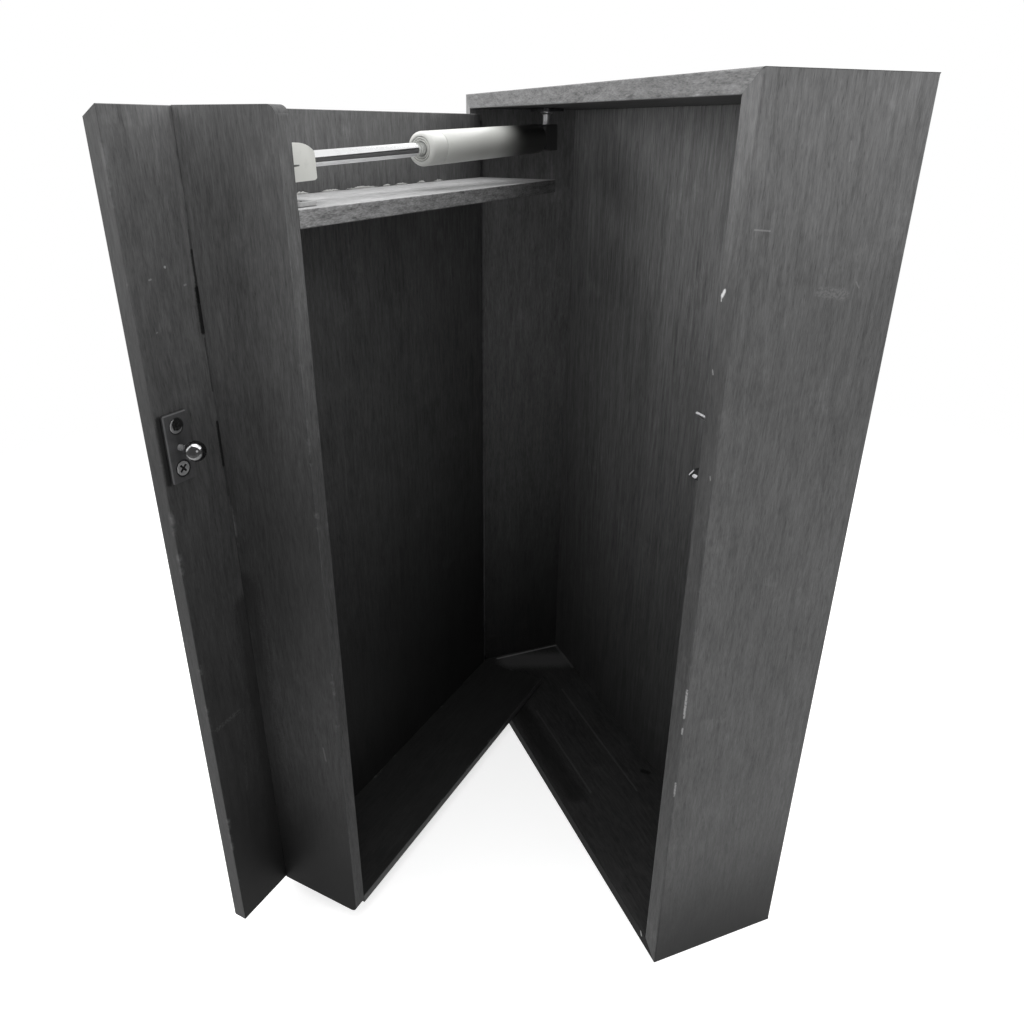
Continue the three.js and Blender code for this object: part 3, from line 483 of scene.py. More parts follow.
# Faces turned outward, curves smooth and edges past an angle sharp
def builtPiece(name, work, sharpest, finish=None):
    bmesh.ops.recalc_face_normals(work, faces=work.faces)
    mesh = bpy.data.meshes.new(name)
    work.to_mesh(mesh)
    work.free()
    mesh.shade_smooth()
    mesh.set_sharp_from_angle(angle=math.radians(sharpest))
    return newPiece(name, mesh, finish)


def settle(piece, body, nodes):
    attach(piece, body)
    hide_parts(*nodes)


# A node's shape with its loose triangles merged, its long edges eased and its curves smooth
def easedCopy(name, node, finish, rounding, shortest=0.02, sharpest=0.6, segments=3, smoothUnder=None, grow=None,
              knocks=(), mitre=0.0):
    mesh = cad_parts[node].data.copy()
    mesh.name = name
    work = bmesh.new()
    work.from_mesh(mesh)
    flatLimit, welded = math.radians(0.6), 2e-6
    bmesh.ops.remove_doubles(work, verts=work.verts, dist=welded)
    bmesh.ops.dissolve_limit(work, angle_limit=flatLimit, verts=work.verts, edges=work.edges)
    if grow:
        low, high = (Vector(corner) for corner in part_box(node))
        for vertex in work.verts:
            for i in range(3):
                share = (vertex.co[i] - low[i]) / (high[i] - low[i])
                vertex.co[i] += grow[i] * (2 * share - 1)
    # A mitre's faces close on their neighbours and keep sharp edges, as glued and sanded corners do
    mitred = [face for face in work.faces if mitre and abs(face.normal.x) > 0.3 and abs(face.normal.z) > 0.3]
    glued = {edge for face in mitred for edge in face.edges}
    for face in mitred:
        for vertex in face.verts:
            vertex.co += face.normal * mitre
            for i in range(3):
                vertex.co[i] = min(max(vertex.co[i], cadBox[0][i]), cadBox[1][i])
    # Each knock is a point and an outward line, and takes off what lies past its plane
    for spot, outward in knocks:
        cut = bmesh.ops.bisect_plane(work, geom=work.verts[:] + work.edges[:] + work.faces[:], plane_co=spot,
                                     plane_no=outward, clear_outer=True)["geom_cut"]
        bmesh.ops.triangle_fill(work, use_beauty=True, normal=outward,
                                edges=[item for item in cut if isinstance(item, bmesh.types.BMEdge)])
    if knocks:
        bmesh.ops.dissolve_limit(work, angle_limit=flatLimit, verts=work.verts, edges=work.edges)
        bmesh.ops.recalc_face_normals(work, faces=work.faces)
    ridges = [edge for edge in work.edges if edge not in glued and len(edge.link_faces) == 2 and edge.is_convex
              and edge.calc_face_angle(0) > sharpest and edge.calc_length() > shortest]
    if rounding:
        bmesh.ops.bevel(work, geom=ridges, offset=rounding, segments=segments, profile=0.5, affect="EDGES",
                        clamp_overlap=True)
    work.to_mesh(mesh)
    work.free()
    while mesh.attributes.get("custom_normal"):
        mesh.attributes.remove(mesh.attributes["custom_normal"])
    if smoothUnder:
        mesh.shade_smooth()
        mesh.set_sharp_from_angle(angle=math.radians(smoothUnder))
    else:
        mesh.shade_flat()
    return newPiece(name, mesh, finish)


# Boards of the box, in the record's frame
boxLow, boxHigh = (-0.1635, -0.0425, 0.0), (0.1635, 0.0425, 0.48)
boardLook = dict(rounding=0.6, mitre=0.148, mouth=-0.0425, shelf=0.0385, foot=0.009)
# Pale streaks in the wide panel's veneer: place across, lower end, upper end
veneerStreaks = [(-0.0800, 0.2487, 0.3539), (-0.0255, 0.3416, 0.3954), (-0.0050, 0.2999, 0.3453),
                 (0.0110, 0.2982, 0.3691), (0.0145, 0.2951, 0.3898), (0.0313, 0.3110, 0.3724),
                 (0.0530, 0.2844, 0.3408), (-0.0900, 0.1713, 0.2555)]
# In these looks the fades and rim fades are painted light and shade laid over the stain
boxBoards = {
    "frontBoard": dict(
        node="box_front_board", grain="z", seed=1.0, tone=grey(96), gloss=0.17, rim=("y", -0.0421, grey(99)),
        rounding=1.1, rimShadeFades=[("z", 0.36, 0.465, 0.6, 1.1)],
        shadeFades=[("z", 0.0, 0.1, 0.14, 1.0), ("z", 0.12, 0.4, 0.92, 0.93), ("z", 0.38, 0.47, 1, 1.5)],
        marks=onFace("x", boxHigh[0],
                     (-0.0375, 0.4236, -0.0300, 0.4229, 0.0005, 0.4, 165, 0.35),
                     (0.0000, 0.3975, 0.0135, 0.3955, 0.0032, 0.3, 145, 0.12),
                     (0.0185, 0.4005, 0.0205, 0.3980, 0.0005, 0.35, 150),
                     (0.0030, 0.4550, 0.0036, 0.4480, 0.0005, 0.4, 150, 0.3))
        + onFace("y", boardLook["mouth"],
                 (0.1557, 0.3992, 0.1544, 0.3970, 0.0012, 0.9, 225),
                 (0.1541, 0.3965, 0.1542, 0.3950, 0.0006, 0.7, 190),
                 (0.1538, 0.3655, 0.1544, 0.3640, 0.0006, 0.5, 170),
                 (0.1610, 0.3190, 0.1614, 0.3175, 0.0006, 0.5, 170),
                 (0.1632, 0.2030, 0.1632, 0.1860, 0.0011, 0.75, 185, 0.2),
                 (0.1632, 0.1790, 0.1632, 0.1755, 0.0009, 0.75, 185),
                 (0.1631, 0.1420, 0.1631, 0.1330, 0.0009, 0.7, 180, 0.2))),
    "hingeSideBoard": dict(
        node="box_hinge_side_board", grain="z", seed=2.3, tone=grey(86), rim=("y", -0.0423, grey(96)),
        shadeFades=[("z", 0.02, 0.42, 0.18, 2.0)], bare=("x", -0.163, "below", grey(84))),
    "topEndBoard": dict(
        node="box_top_end_board", grain="x", seed=3.1, tone=grey(86), rim=("y", -0.0423, grey(111)),
        rimStreaks=1.7, rimStretch=420),
    # The bottom board's dark tone is painted shade for the deep floor of the box; its rim is coloured darker still
    "bottomEndBoard": dict(
        node="box_bottom_end_board", grain="x", seed=4.7, tone=grey(50), gloss=0.06, rim=("y", -0.0423, grey(22)),
        marks=onFace("y", boardLook["mouth"], (0.1468, 0.0075, 0.1478, 0.0052, 0.0009, 0.9, 205))
        + onFace("z", boardLook["foot"],
                 (-0.0695, -0.0185, 0.0315, -0.0185, 0.0012, 0.3, 90, 0.25),
                 (-0.0900, -0.0310, 0.0300, -0.0310, 0.0110, 0.5, 18),
                 (-0.0885, 0.0145, 0.0425, 0.0145, 0.0012, 0.3, 90, 0.25),
                 (0.0290, 0.0320, 0.0260, 0.0290, 0.0030, 0.7, 12),
                 (-0.1450, -0.0120, -0.1300, 0.0320, 0.0170, 0.7, 95, 0.7),
                 (-0.1525, -0.0220, -0.1525, 0.0385, 0.0014, 0.8, 150),
                 (-0.1515, 0.0375, -0.1150, 0.0375, 0.0020, 0.45, 100))),
    "widePanel": dict(
        node="box_wide_panel", grain="z", seed=5.9, tone=grey(107), streaks=1.35, bands=0.3, cloud=0.25,
        stretch=110, grow=(0.00035, 0, 0.00035), bare=("y", 0.0415, "above", grey(78)),
        shadeFades=[("z", 0.0, 0.42, 0.24, 1.35), ("x", -0.12, 0.12, 1.35, 1.0), ("z", 0.41, 0.46, 1, 1.35)],
        marks=onFace("y", boardLook["shelf"],
                     *((x, low, x, high, 0.0006, 0.3, 150, 0.15) for x, low, high in veneerStreaks))),
}
for name, look in boxBoards.items():
    look.update(low=boxLow, high=boxHigh)
    piece = easedCopy(name, look["node"], stainedWood(name + "Wood", look),
                      look.get("rounding", boardLook["rounding"]) * mm, grow=look.get("grow"),
                      mitre=boardLook["mitre"] * mm)
    settle(piece, "box", [look["node"]])
print("box boards dressed")

# Boards of the tray, in its own frame: x along the panel, y from the pin inward
trayLook = dict(rounding=0.5, panelFace=0.0112, sideFace=0.2677)
# In these looks the fades, rim fades and the door panel's margin fades are painted light and shade laid over the stain
trayBoards = {
    "doorPanel": dict(
        node="door_panel", grain="z", seed=6.4, tone=grey(88), gloss=0.13, rim=("x", 0.3045, grey(84)),
        low=(0.0011, 0.0022, 0.0102), high=(0.3047, 0.0112, 0.4675), rimStreaks=0.7, flecks=0.05,
        shadeFades=[("z", 0.05, 0.45, 0.15, 1.3)], rimShadeFades=[("z", 0.3, 0.46, 0.62, 1.05)],
        margin=("x", 0.2642, [("z", 0.12, 0.48, 0.36, 1.2), ("z", 0.02, 0.15, 0.12, 1.0),
                              ("z", 0.28, 0.41, 0.78, 1.0), ("z", 0.42, 0.47, 1.0, 1.15),
                              ("x", 0.268, 0.294, 1.35, 0.85)]),
        bare=("y", 0.003, "below", grey(80)),
        marks=onFace("y", trayLook["panelFace"],
                     (0.2842, 0.4029, 0.2843, 0.4028, 0.0008, 0.9, 170),
                     (0.2928, 0.3987, 0.2938, 0.3985, 0.0006, 0.7, 140),
                     (0.2743, 0.3938, 0.2752, 0.3936, 0.0006, 0.8, 150),
                     (0.2942, 0.3758, 0.2946, 0.3756, 0.0005, 0.6, 130),
                     (0.3008, 0.1567, 0.2840, 0.1578, 0.0021, 0.24, 95, 0.1),
                     (0.2806, 0.1577, 0.2872, 0.1024, 0.0012, 0.14, 85, 0.1),
                     # painted shade: a dark band along the crease low down
                     (0.2684, 0.0400, 0.2684, 0.2200, 0.0100, 0.5, 22),
                     # the open seam along the side board, and a painted shadow beside the strike plate
                     (0.2681, 0.4170, 0.2681, 0.4070, 0.0005, 0.5, 30),
                     (0.2681, 0.4080, 0.2681, 0.3850, 0.0011, 0.8, 20),
                     (0.2684, 0.3910, 0.2684, 0.3710, 0.0019, 0.9, 14),
                     (0.2681, 0.3680, 0.2681, 0.3420, 0.0006, 0.6, 22),
                     (0.2682, 0.3260, 0.2682, 0.3030, 0.0012, 0.9, 14),
                     (0.2681, 0.3030, 0.2681, 0.2860, 0.0006, 0.5, 20),
                     (0.3022, 0.3055, 0.3022, 0.3370, 0.0023, 0.85, 18))),
    "traySideBoard": dict(
        node="tray_side_board", grain="z", seed=7.2, tone=grey(84), gloss=0.1, rim=("y", 0.069, grey(92)),
        low=(0.2597, 0.0115, 0.0102), high=(0.2677, 0.0692, 0.4675),
        shadeFades=[("z", 0.25, 0.42, 0.38, 0.95), ("z", 0.02, 0.15, 0.05, 1.0), ("z", 0.12, 0.24, 1.6, 1.0),
               ("z", 0.41, 0.46, 1.0, 1.2), ("y", 0.0115, 0.04, 1.4, 0.93)],
        rimShadeFades=[("z", 0.28, 0.42, 0.6, 1.2)],
        marks=onFace("x", trayLook["sideFace"],
                     # painted shade: a dark band along the crease low down
                     (0.0120, 0.0300, 0.0120, 0.2300, 0.0160, 0.5, 24),
                     (0.0565, 0.1374, 0.0577, 0.1284, 0.0008, 0.45, 110, 0.3))),
    # The cross board's pale tone is partly painted sheen of the overhead light on its top; its fades darken the sides
    # and the hinge end as painted shade
    "trayCrossBoard": dict(
        node="tray_cross_board", grain="x", seed=8.8, tone=grey(168), rim=("y", 0.069, grey(136)),
        low=(0.0011, 0.0115, 0.4195), high=(0.2594, 0.0692, 0.4275), rimStreaks=1.9, rimStretch=480,
        shadeFades=[("z", 0.4258, 0.4273, 0.5, 1.0)], rimShadeFades=[("x", 0.01, 0.13, 0.6, 1.0)]),
    "trayBottomBoard": dict(
        node="tray_bottom_board", grain="x", seed=9.5, tone=grey(38), rim=("y", 0.069, grey(70)),
        low=(0.0011, 0.0115, 0.0102), high=(0.2594, 0.0692, 0.0162)),
}
for name, look in trayBoards.items():
    look.update(tray=True)
    piece = easedCopy(name, look["node"], stainedWood(name + "Wood", look), trayLook["rounding"] * mm)
    settle(piece, "tray", [look["node"]])
print("tray boards dressed")


def around(loop):
    return zip(loop, loop[1:] + loop[:1])


# Faces between rings of vertices; a ring may also be a single point
def bridged(work, rings, sides):
    for first, second in zip(rings, rings[1:]):
        for i in range(sides):
            j = (i + 1) % sides
            corners = [first[i % len(first)], first[j % len(first)], second[j % len(second)], second[i % len(second)]]
            corners = [corner for k, corner in enumerate(corners) if corner not in corners[:k]]
            if len(corners) > 2:
                work.faces.new(corners)


# Body of revolution from points of radius and distance, in millimetres, along a line
def turnedPiece(name, profile, origin, line, finish, sides=64, closed=False, sharpest=32):
    line = Vector(line).normalized()
    side = line.orthogonal().normalized()
    other = line.cross(side)
    turns = [2 * math.pi * i / sides for i in range(sides)]
    work = bmesh.new()
    rings = []
    for radius, along in profile:
        centre = Vector(origin) + line * along * mm
        spokes = [(side * math.cos(turn) + other * math.sin(turn)) * radius * mm for turn in turns if radius]
        rings.append([work.verts.new(centre + spoke) for spoke in spokes or [Vector()]])
    bridged(work, rings + rings[:1] if closed else rings, sides)
    return builtPiece(name, work, sharpest, finish)


def roundOver(centre, radius, start, end, steps=5):
    points = []
    for i in range(steps + 1):
        angle = math.radians(start + (end - start) * i / steps)
        points.append((centre[0] + radius * math.cos(angle), centre[1] + radius * math.sin(angle)))
    return points


# The gas strut, in millimetres along its own line from the box ball
strut = dict(origin=(-0.1145, -0.0025, 0.453), line=(0.6235634, -0.7812119, -0.0296091), length=253.3,
             tube=8.75, bore=7.75, rod=3.5, socketReach=15.3, rodExposed=90.6, capLength=14.6, seam=0.25,
             tubeBack=1.0, tubeEdge=0.6)
strut["rodFace"] = strut["length"] - strut["socketReach"]
strut["mouth"] = strut["rodFace"] - strut["rodExposed"]
strut["capBack"] = strut["mouth"] - strut["capLength"]


def strutTurned(name, node, body, profile, finish, closed=True):
    piece = turnedPiece(name, profile, strut["origin"], strut["line"], finish, closed=closed)
    settle(piece, body, [node])


# Painted shade: the tube darkens toward the box end, where the top board shades it inside the box
tubePaintedShadeMoulding = mouldedFinish("tubePaintedShadeMoulding", dict(
    color=(0.57, 0.575, 0.55), roughness=0.34, mottle=0.06, grime=0.08, shadeFade=(0.04, 0.082, 0.05, 1.0),
    shadeFadeFrom=strut["origin"], shadeFadeLine=strut["line"]))
start, end = strut["socketReach"] + strut["seam"], strut["capBack"] - strut["seam"]
back, edge = strut["tubeBack"], strut["tubeEdge"]
tubeProfile = [(strut["bore"], start), (strut["tube"] - back, start)]
tubeProfile += roundOver((strut["tube"] - back, start + back), back, -90, 0)
tubeProfile += roundOver((strut["tube"] - edge, end - edge), edge, 0, 90, 4) + [(strut["bore"], end)]
strutTurned("strutTube", "strut_tube", "strut_cylinder", tubeProfile, tubePaintedShadeMoulding)

# The cap's face steps down to the rod in rings: middle, radius, depth, groove's edges, steps
capLook = dict(bore=3.75, collarEdge=4.15, collarDepth=0.9, grooveDepth=1.1, nose=2.2, noseEdge=6.5,
               noseRound=0.25, spigot=7.5, spigotEnd=12.0,
               rings=[(4.45, 0.3, 0.45, 4.8, 5.1, 5), (5.5, 0.4, 0.4, 5.95, 6.25, 6)])
mouth, lip, groove = strut["mouth"], strut["tube"], strut["mouth"] - capLook["grooveDepth"]
collar = mouth - capLook["collarDepth"]
capProfile = [(capLook["bore"], collar), (capLook["collarEdge"], collar)]
for middle, radius, depth, inner, outer, steps in capLook["rings"]:
    capProfile += roundOver((middle, mouth - depth), radius, 180, 0, steps) + [(inner, groove), (outer, groove)]
nose, edge = capLook["nose"], capLook["noseRound"]
capProfile += roundOver((capLook["noseEdge"], mouth - edge), edge, 180, 90, 3)
capProfile += roundOver((lip - nose, mouth - nose), nose, 90, 0, 8)
capProfile += roundOver((lip - strut["tubeEdge"], strut["capBack"] + strut["tubeEdge"]), strut["tubeEdge"], 0, -90, 4)
capProfile += [(capLook["spigot"], strut["capBack"]), (capLook["spigot"], strut["capBack"] - capLook["spigotEnd"]),
               (capLook["bore"], strut["capBack"] - capLook["spigotEnd"])]
strutTurned("strutNoseCap", "strut_nose_cap", "strut_cylinder", capProfile, whiteMoulding)

# The rod steps down into the piston and ends in a thread, turned as grooves
rodLook = dict(start=101.9, step=109.15, inner=2.4, crest=2.9, root=2.5, tip=2.8, pitch=1.0, engagement=7.0)
face, rod = strut["rodFace"], strut["rod"]
rodProfile = [(0, rodLook["start"]), (rodLook["inner"], rodLook["start"]), (rodLook["inner"], rodLook["step"]),
              (rod, rodLook["step"]), (rod, face - strut["seam"]), (rodLook["crest"], face - strut["seam"])]
for i in range(int(rodLook["engagement"] / rodLook["pitch"])):
    near = face + i * rodLook["pitch"]
    rodProfile += [(rodLook["crest"], near), (rodLook["root"], near + rodLook["pitch"] * 0.5)]
rodProfile += [(rodLook["tip"], face + rodLook["engagement"]), (0, face + rodLook["engagement"])]
strutTurned("strutRod", "strut_rod", "strut_plunger", rodProfile, chromeFinish, closed=False)

# Painted shade: the box-end socket is coloured near black for the shade inside the box
boxSocketPaintedShade = mouldedFinish("boxSocketPaintedShade", dict(
    color=(0.035, 0.035, 0.036), roughness=0.4, mottle=0.1, grime=0.1))
socketEdges = dict(shortest=0.0015, sharpest=0.7, smoothUnder=35)
piece = easedCopy("strutBoxSocket", "strut_box_socket", boxSocketPaintedShade, 0.25 * mm, segments=2, **socketEdges)
settle(piece, "strut_cylinder", ["strut_box_socket"])
# Its crown and foot are rounded further, by planes that touch an oval
socketLook = dict(reach=15.3, top=7.5, foot=-8.25, crown=(13.0, 7.5), toe=(3.6, 3.0))
toRod = -Vector(strut["line"]).normalized()
upright = (Vector((0, 0, 1)) - toRod * toRod.z).normalized()
ballCentre = Vector(strut["origin"]) - toRod * strut["length"] * mm
roundings = []
for (wide, tall), height, turns in ((socketLook["crown"], socketLook["top"], range(5, 90, 10)),
                                    (socketLook["toe"], socketLook["foot"], range(-75, 0, 15))):
    side = 1 if height > 0 else -1
    for turn in turns:
        c, d = math.cos(math.radians(turn)), math.sin(math.radians(turn))
        spot = toRod * (socketLook["reach"] - wide + wide * c) + upright * (height - side * tall + tall * d)
        roundings.append((ballCentre + spot * mm, (toRod * c / wide + upright * d / tall).normalized()))
socketMoulding = mouldedFinish("socketMoulding", dict(
    color=(0.68, 0.685, 0.65), roughness=0.3, mottle=0.08, grime=0.1,
    marks=[((0.0502, -0.1967, 0.4438), (0.0470, -0.1933, 0.4440), 0.0006, 0.9, 0.04)]))
piece = easedCopy("strutTraySocket", "strut_tray_socket", socketMoulding, 0.45 * mm, knocks=roundings, **socketEdges)
settle(piece, "strut_plunger", ["strut_tray_socket"])
print("strut dressed")

# Ball studs: a rivet tenon, a shoulder, a waisted neck and the ball
strutStud = dict(ball=5.0, height=18.0, neck=2.6, throat=2.6, tenon=2.0, seat=2.35, shoulder=4.2,
                 slot="zinc_steel", finish=zincFinish)
studs = {
    "boxBallStud": dict(strutStud, node="strut_box_ball_stud", body="box", foot=(-0.1145, -0.0025, 0.471),
                        up=(0, 0, -1)),
    "trayBallStud": dict(strutStud, node="strut_tray_ball_stud", body="tray", up=(0, 0, 1),
                         foot=trayFrame @ Vector((0.2467, 0.0502, 0.4275))),
    "strikeBallStud": dict(node="strike_ball_stud", body="tray", foot=trayFrame @ Vector((0.2942, 0.0112, 0.3215)),
                           up=trayFrame.to_3x3() @ Vector((0, 1, 0)), ball=5.0, height=12.0, neck=1.35, throat=2.8,
                           tenon=1.4, seat=2.05, shoulder=1.7, slot="chrome", finish=strikeBallPaintedLight),
}
studLook = dict(foot=0.3, shoulderSlope=0.1, shoulderTop=0.5, neckSlope=0.1, neckFoot=1.4, neckTop=2.2, sides=48)
for name, look in studs.items():
    tenon, seat, shoulder, neck = (look[key] for key in ("tenon", "seat", "shoulder", "neck"))
    profile = [(0, studLook["foot"]), (tenon, studLook["foot"]), (tenon, seat), (shoulder, seat),
               (shoulder - studLook["shoulderSlope"], seat + studLook["shoulderTop"]),
               (neck + studLook["neckSlope"], seat + studLook["neckFoot"]), (neck, seat + studLook["neckTop"])]
    throatAngle = -math.degrees(math.acos(look["throat"] / look["ball"]))
    ball = roundOver((0, look["height"]), look["ball"], throatAngle, 90, 22)
    profile += ball[:-1] + [(0, look["height"] + look["ball"])]
    piece = turnedPiece(name, profile, look["foot"], look["up"], look["finish"], sides=studLook["sides"])
    settle(piece, look["body"], [look["node"]])

# Stamped plates keep their shape and gain eased edges
plates = {
    "boxStudPlate": ("strut_box_plate", "box", "dark_steel", blackSteelFinish, 0.35),
    "trayStudPlate": ("strut_tray_plate", "tray", "zinc_steel", traySteelFinish, 0.35),
    "strikePlate": ("strike_plate", "tray", "dark_steel", strikePlatePaintedLight, 0.45),
    "catchBody": ("catch_body", "box", "zinc_steel", zincFinish, 0.2),
    "catchUpperJaw": ("catch_upper_jaw", "upper_jaw", "zinc_steel", zincFinish, 0.25),
    "catchLowerJaw": ("catch_lower_jaw", "lower_jaw", "zinc_steel", lowerJawPaintedLight, 0.25),
}
for name, (node, body, slotName, finish, rounding) in plates.items():
    piece = easedCopy(name, node, finish, rounding * mm, shortest=0.0025, sharpest=0.7, segments=2, smoothUnder=40)
    settle(piece, body, [node])
print("plates and studs dressed")


# Countersunk cross-head screw at the origin, its point down -z; the recess is in shares of the head
screwShape = dict(sides=32, edge=0.12, band=0.3, wing=0.66, slit=0.16, taperOut=0.55, taperIn=0.7, deep=0.42)


def crossHead(name, look):
    work = bmesh.new()
    sides, head, shank = screwShape["sides"], look["head"], look["shank"]
    turns = [2 * math.pi * i / sides for i in range(sides)]

    def ring(radius, height):
        return [work.verts.new(Vector((radius * math.cos(t), radius * math.sin(t), height)) * mm) for t in turns]

    rings = [ring(head - screwShape["edge"], 0), ring(head, -screwShape["edge"]), ring(head, -screwShape["band"]),
             ring(shank, -look["headDepth"]), ring(shank, shank * 2 - look["length"]),
             [work.verts.new((0, 0, -look["length"] * mm))]]
    bridged(work, rings, sides)
    wing, half = head * mm * screwShape["wing"], head * mm * screwShape["slit"]
    outline = [(wing, -half), (wing, half), (half, half), (half, wing), (-half, wing), (-half, half), (-wing, half),
               (-wing, -half), (-half, -half), (-half, -wing), (half, -wing), (half, -half)]
    top = [work.verts.new((x, y, 0)) for x, y in outline]
    floor = [work.verts.new((x * screwShape["taperOut"], y * screwShape["taperIn"], -head * mm * screwShape["deep"]))
             for x, y in outline]
    recess = work.faces.layers.float.new("recess")
    walls = [(a, b, d, c) for (a, b), (c, d) in zip(around(top), around(floor))]
    for corners in [*walls, floor]:
        work.faces.new(corners)[recess] = 1.0
    rims = [work.edges.get(pair) for loop in (rings[0], top) for pair in around(loop)]
    bmesh.ops.triangle_fill(work, use_beauty=True, edges=rims)
    return builtPiece(name, work, 30)


# Inputs are given as the kind of socket and their names
def newNodesTree(name, **inputs):
    tree = bpy.data.node_groups.new(name, "GeometryNodeTree")
    kinds = {"vector": "Vector", "value": "Float", "count": "Int", "object": "Object", "finish": "Material"}
    tree.interface.new_socket(name="Geometry", in_out="INPUT", socket_type="NodeSocketGeometry")
    for kind, labels in inputs.items():
        for label in labels.split():
            tree.interface.new_socket(name=label, in_out="INPUT", socket_type="NodeSocket" + kinds[kind])
    tree.interface.new_socket(name="Geometry", in_out="OUTPUT", socket_type="NodeSocketGeometry")
    return tree, tree.nodes.new("NodeGroupInput").outputs, tree.nodes.new("NodeGroupOutput").inputs


def finishTree(tree, geometry, finish, result):
    real = addNode(tree, "GeometryNodeRealizeInstances", {0: geometry}).outputs[0]
    painted = addNode(tree, "GeometryNodeSetMaterial", {"Geometry": real, "Material": finish}).outputs[0]
    feed(tree, result["Geometry"], painted)
    return painted


# Runs a tree on an empty mesh and keeps what it makes as a plain mesh
def grown(name, tree, values):
    base = newPiece(name, bpy.data.meshes.new(name + "Base"))
    modifier = base.modifiers.new("grow", "NODES")
    modifier.node_group = tree
    sockets = {item.name: item.identifier for item in tree.interface.items_tree
               if item.item_type == "SOCKET" and item.in_out == "INPUT"}
    for label, value in values.items():
        modifier[sockets[label]] = value
    bpy.context.view_layer.update()
    depsgraph = bpy.context.evaluated_depsgraph_get()
    mesh = bpy.data.meshes.new_from_object(base.evaluated_get(depsgraph), depsgraph=depsgraph)
    base.modifiers.remove(modifier)
    base.data = mesh
    mesh.name = name
    return base


# A row of screws, each turned by its own amount
def makeScrewRow():
    tree, given, result = newNodesTree("screwRow", object="Screw", count="Count Seed", vector="First Step Aim",
                                       finish="Finish Dirt")
    line = addNode(tree, "GeometryNodeMeshLine", {"Count": given["Count"], "Start Location": given["First"],
                                                  "Offset": given["Step"]}, mode="OFFSET").outputs[0]
    screw = addNode(tree, "GeometryNodeObjectInfo", {"Object": given["Screw"]}).outputs["Geometry"]
    twist = addNode(tree, "FunctionNodeRandomValue", {"Seed": given["Seed"]}, data_type="FLOAT")
    twist.inputs[3].default_value = 2 * math.pi
    spin = addNode(tree, "ShaderNodeCombineXYZ", {2: twist.outputs[1]}).outputs[0]
    spinTurn = addNode(tree, "FunctionNodeEulerToRotation", {0: spin}).outputs[0]
    aimTurn = addNode(tree, "FunctionNodeEulerToRotation", {0: given["Aim"]}).outputs[0]
    both = addNode(tree, "FunctionNodeRotateRotation", {0: aimTurn, 1: spinTurn}, rotation_space="LOCAL").outputs[0]
    placed = addNode(tree, "GeometryNodeInstanceOnPoints", {"Points": line, "Instance": screw, "Rotation": both})
    painted = finishTree(tree, placed.outputs[0], given["Finish"], result)
    # The cross recess is coloured near black
    recess = addNode(tree, "GeometryNodeInputNamedAttribute", {"Name": "recess"}, data_type="FLOAT").outputs[0]
    darkenedRecess = addNode(tree, "GeometryNodeSetMaterial", {"Geometry": painted, "Selection": recess,
                                                      "Material": given["Dirt"]}).outputs[0]
    feed(tree, result["Geometry"], darkenedRecess)
    return tree


# A coil of wire along x
def makeCoilSpring():
    tree, given, result = newNodesTree("coilSpring", value="Turns Radius Length Wire", vector="Start",
                                       finish="Finish")
    coil = addNode(tree, "GeometryNodeCurveSpiral", {
        "Resolution": 24, "Rotations": given["Turns"], "Start Radius": given["Radius"],
        "End Radius": given["Radius"], "Height": given["Length"]}).outputs[0]
    wire = addNode(tree, "GeometryNodeCurvePrimitiveCircle", {"Resolution": 10, "Radius": given["Wire"]}).outputs[0]
    swept = addNode(tree, "GeometryNodeCurveToMesh", {"Curve": coil, "Profile Curve": wire, "Fill Caps": True})
    placed = addNode(tree, "GeometryNodeTransform", {
        "Geometry": swept.outputs[0], "Rotation": (0, math.pi / 2, 0), "Translation": given["Start"]})
    finishTree(tree, placed.outputs[0], given["Finish"], result)
    return tree


# Glue squeezed from a joint: a bead along a line whose thickness comes and goes
def makeGlueBead():
    tree, given, result = newNodesTree("glueBead", vector="Start End", count="Points", value="Thick Lumps Ragged Seed",
                                       finish="Finish")
    line = addNode(tree, "GeometryNodeCurvePrimitiveLine", {"Start": given["Start"], "End": given["End"]}).outputs[0]
    fine = addNode(tree, "GeometryNodeResampleCurve", {"Curve": line, "Count": given["Points"]}).outputs[0]
    where = addNode(tree, "GeometryNodeInputPosition").outputs[0]
    lumps = noiseOf(tree, where, given["Lumps"], 3.0, 0.6, given["Seed"]).outputs[0]
    along = addNode(tree, "GeometryNodeSplineParameter").outputs["Factor"]
    toEnd = maths(tree, "MINIMUM", along, minus(tree, 1.0, along))
    swell = times(tree, ramp(tree, lumps, 0.3, 0.65, 0.3, 1.0), ramp(tree, toEnd, 0.0, 0.4, 0.1, 1.0))
    ring = addNode(tree, "GeometryNodeCurvePrimitiveCircle", {"Resolution": 12, "Radius": 1.0}).outputs[0]
    thick = times(tree, swell, given["Thick"])
    sized = addNode(tree, "GeometryNodeSetCurveRadius", {"Curve": fine, "Radius": thick}).outputs[0]
    sweep = addNode(tree, "GeometryNodeCurveToMesh", {"Curve": sized, "Profile Curve": ring, "Scale": thick,
                                                      "Fill Caps": True}).outputs[0]
    ragged = noiseOf(tree, where, 700.0, 2.0, 0.6, given["Seed"]).outputs["Color"]
    push = vectors(tree, "SCALE", vectors(tree, "SUBTRACT", ragged, (0.5, 0.5, 0.5)), Scale=given["Ragged"])
    rough = addNode(tree, "GeometryNodeSetPosition", {"Geometry": sweep, "Offset": push}).outputs[0]
    finishTree(tree, rough, given["Finish"], result)
    return tree


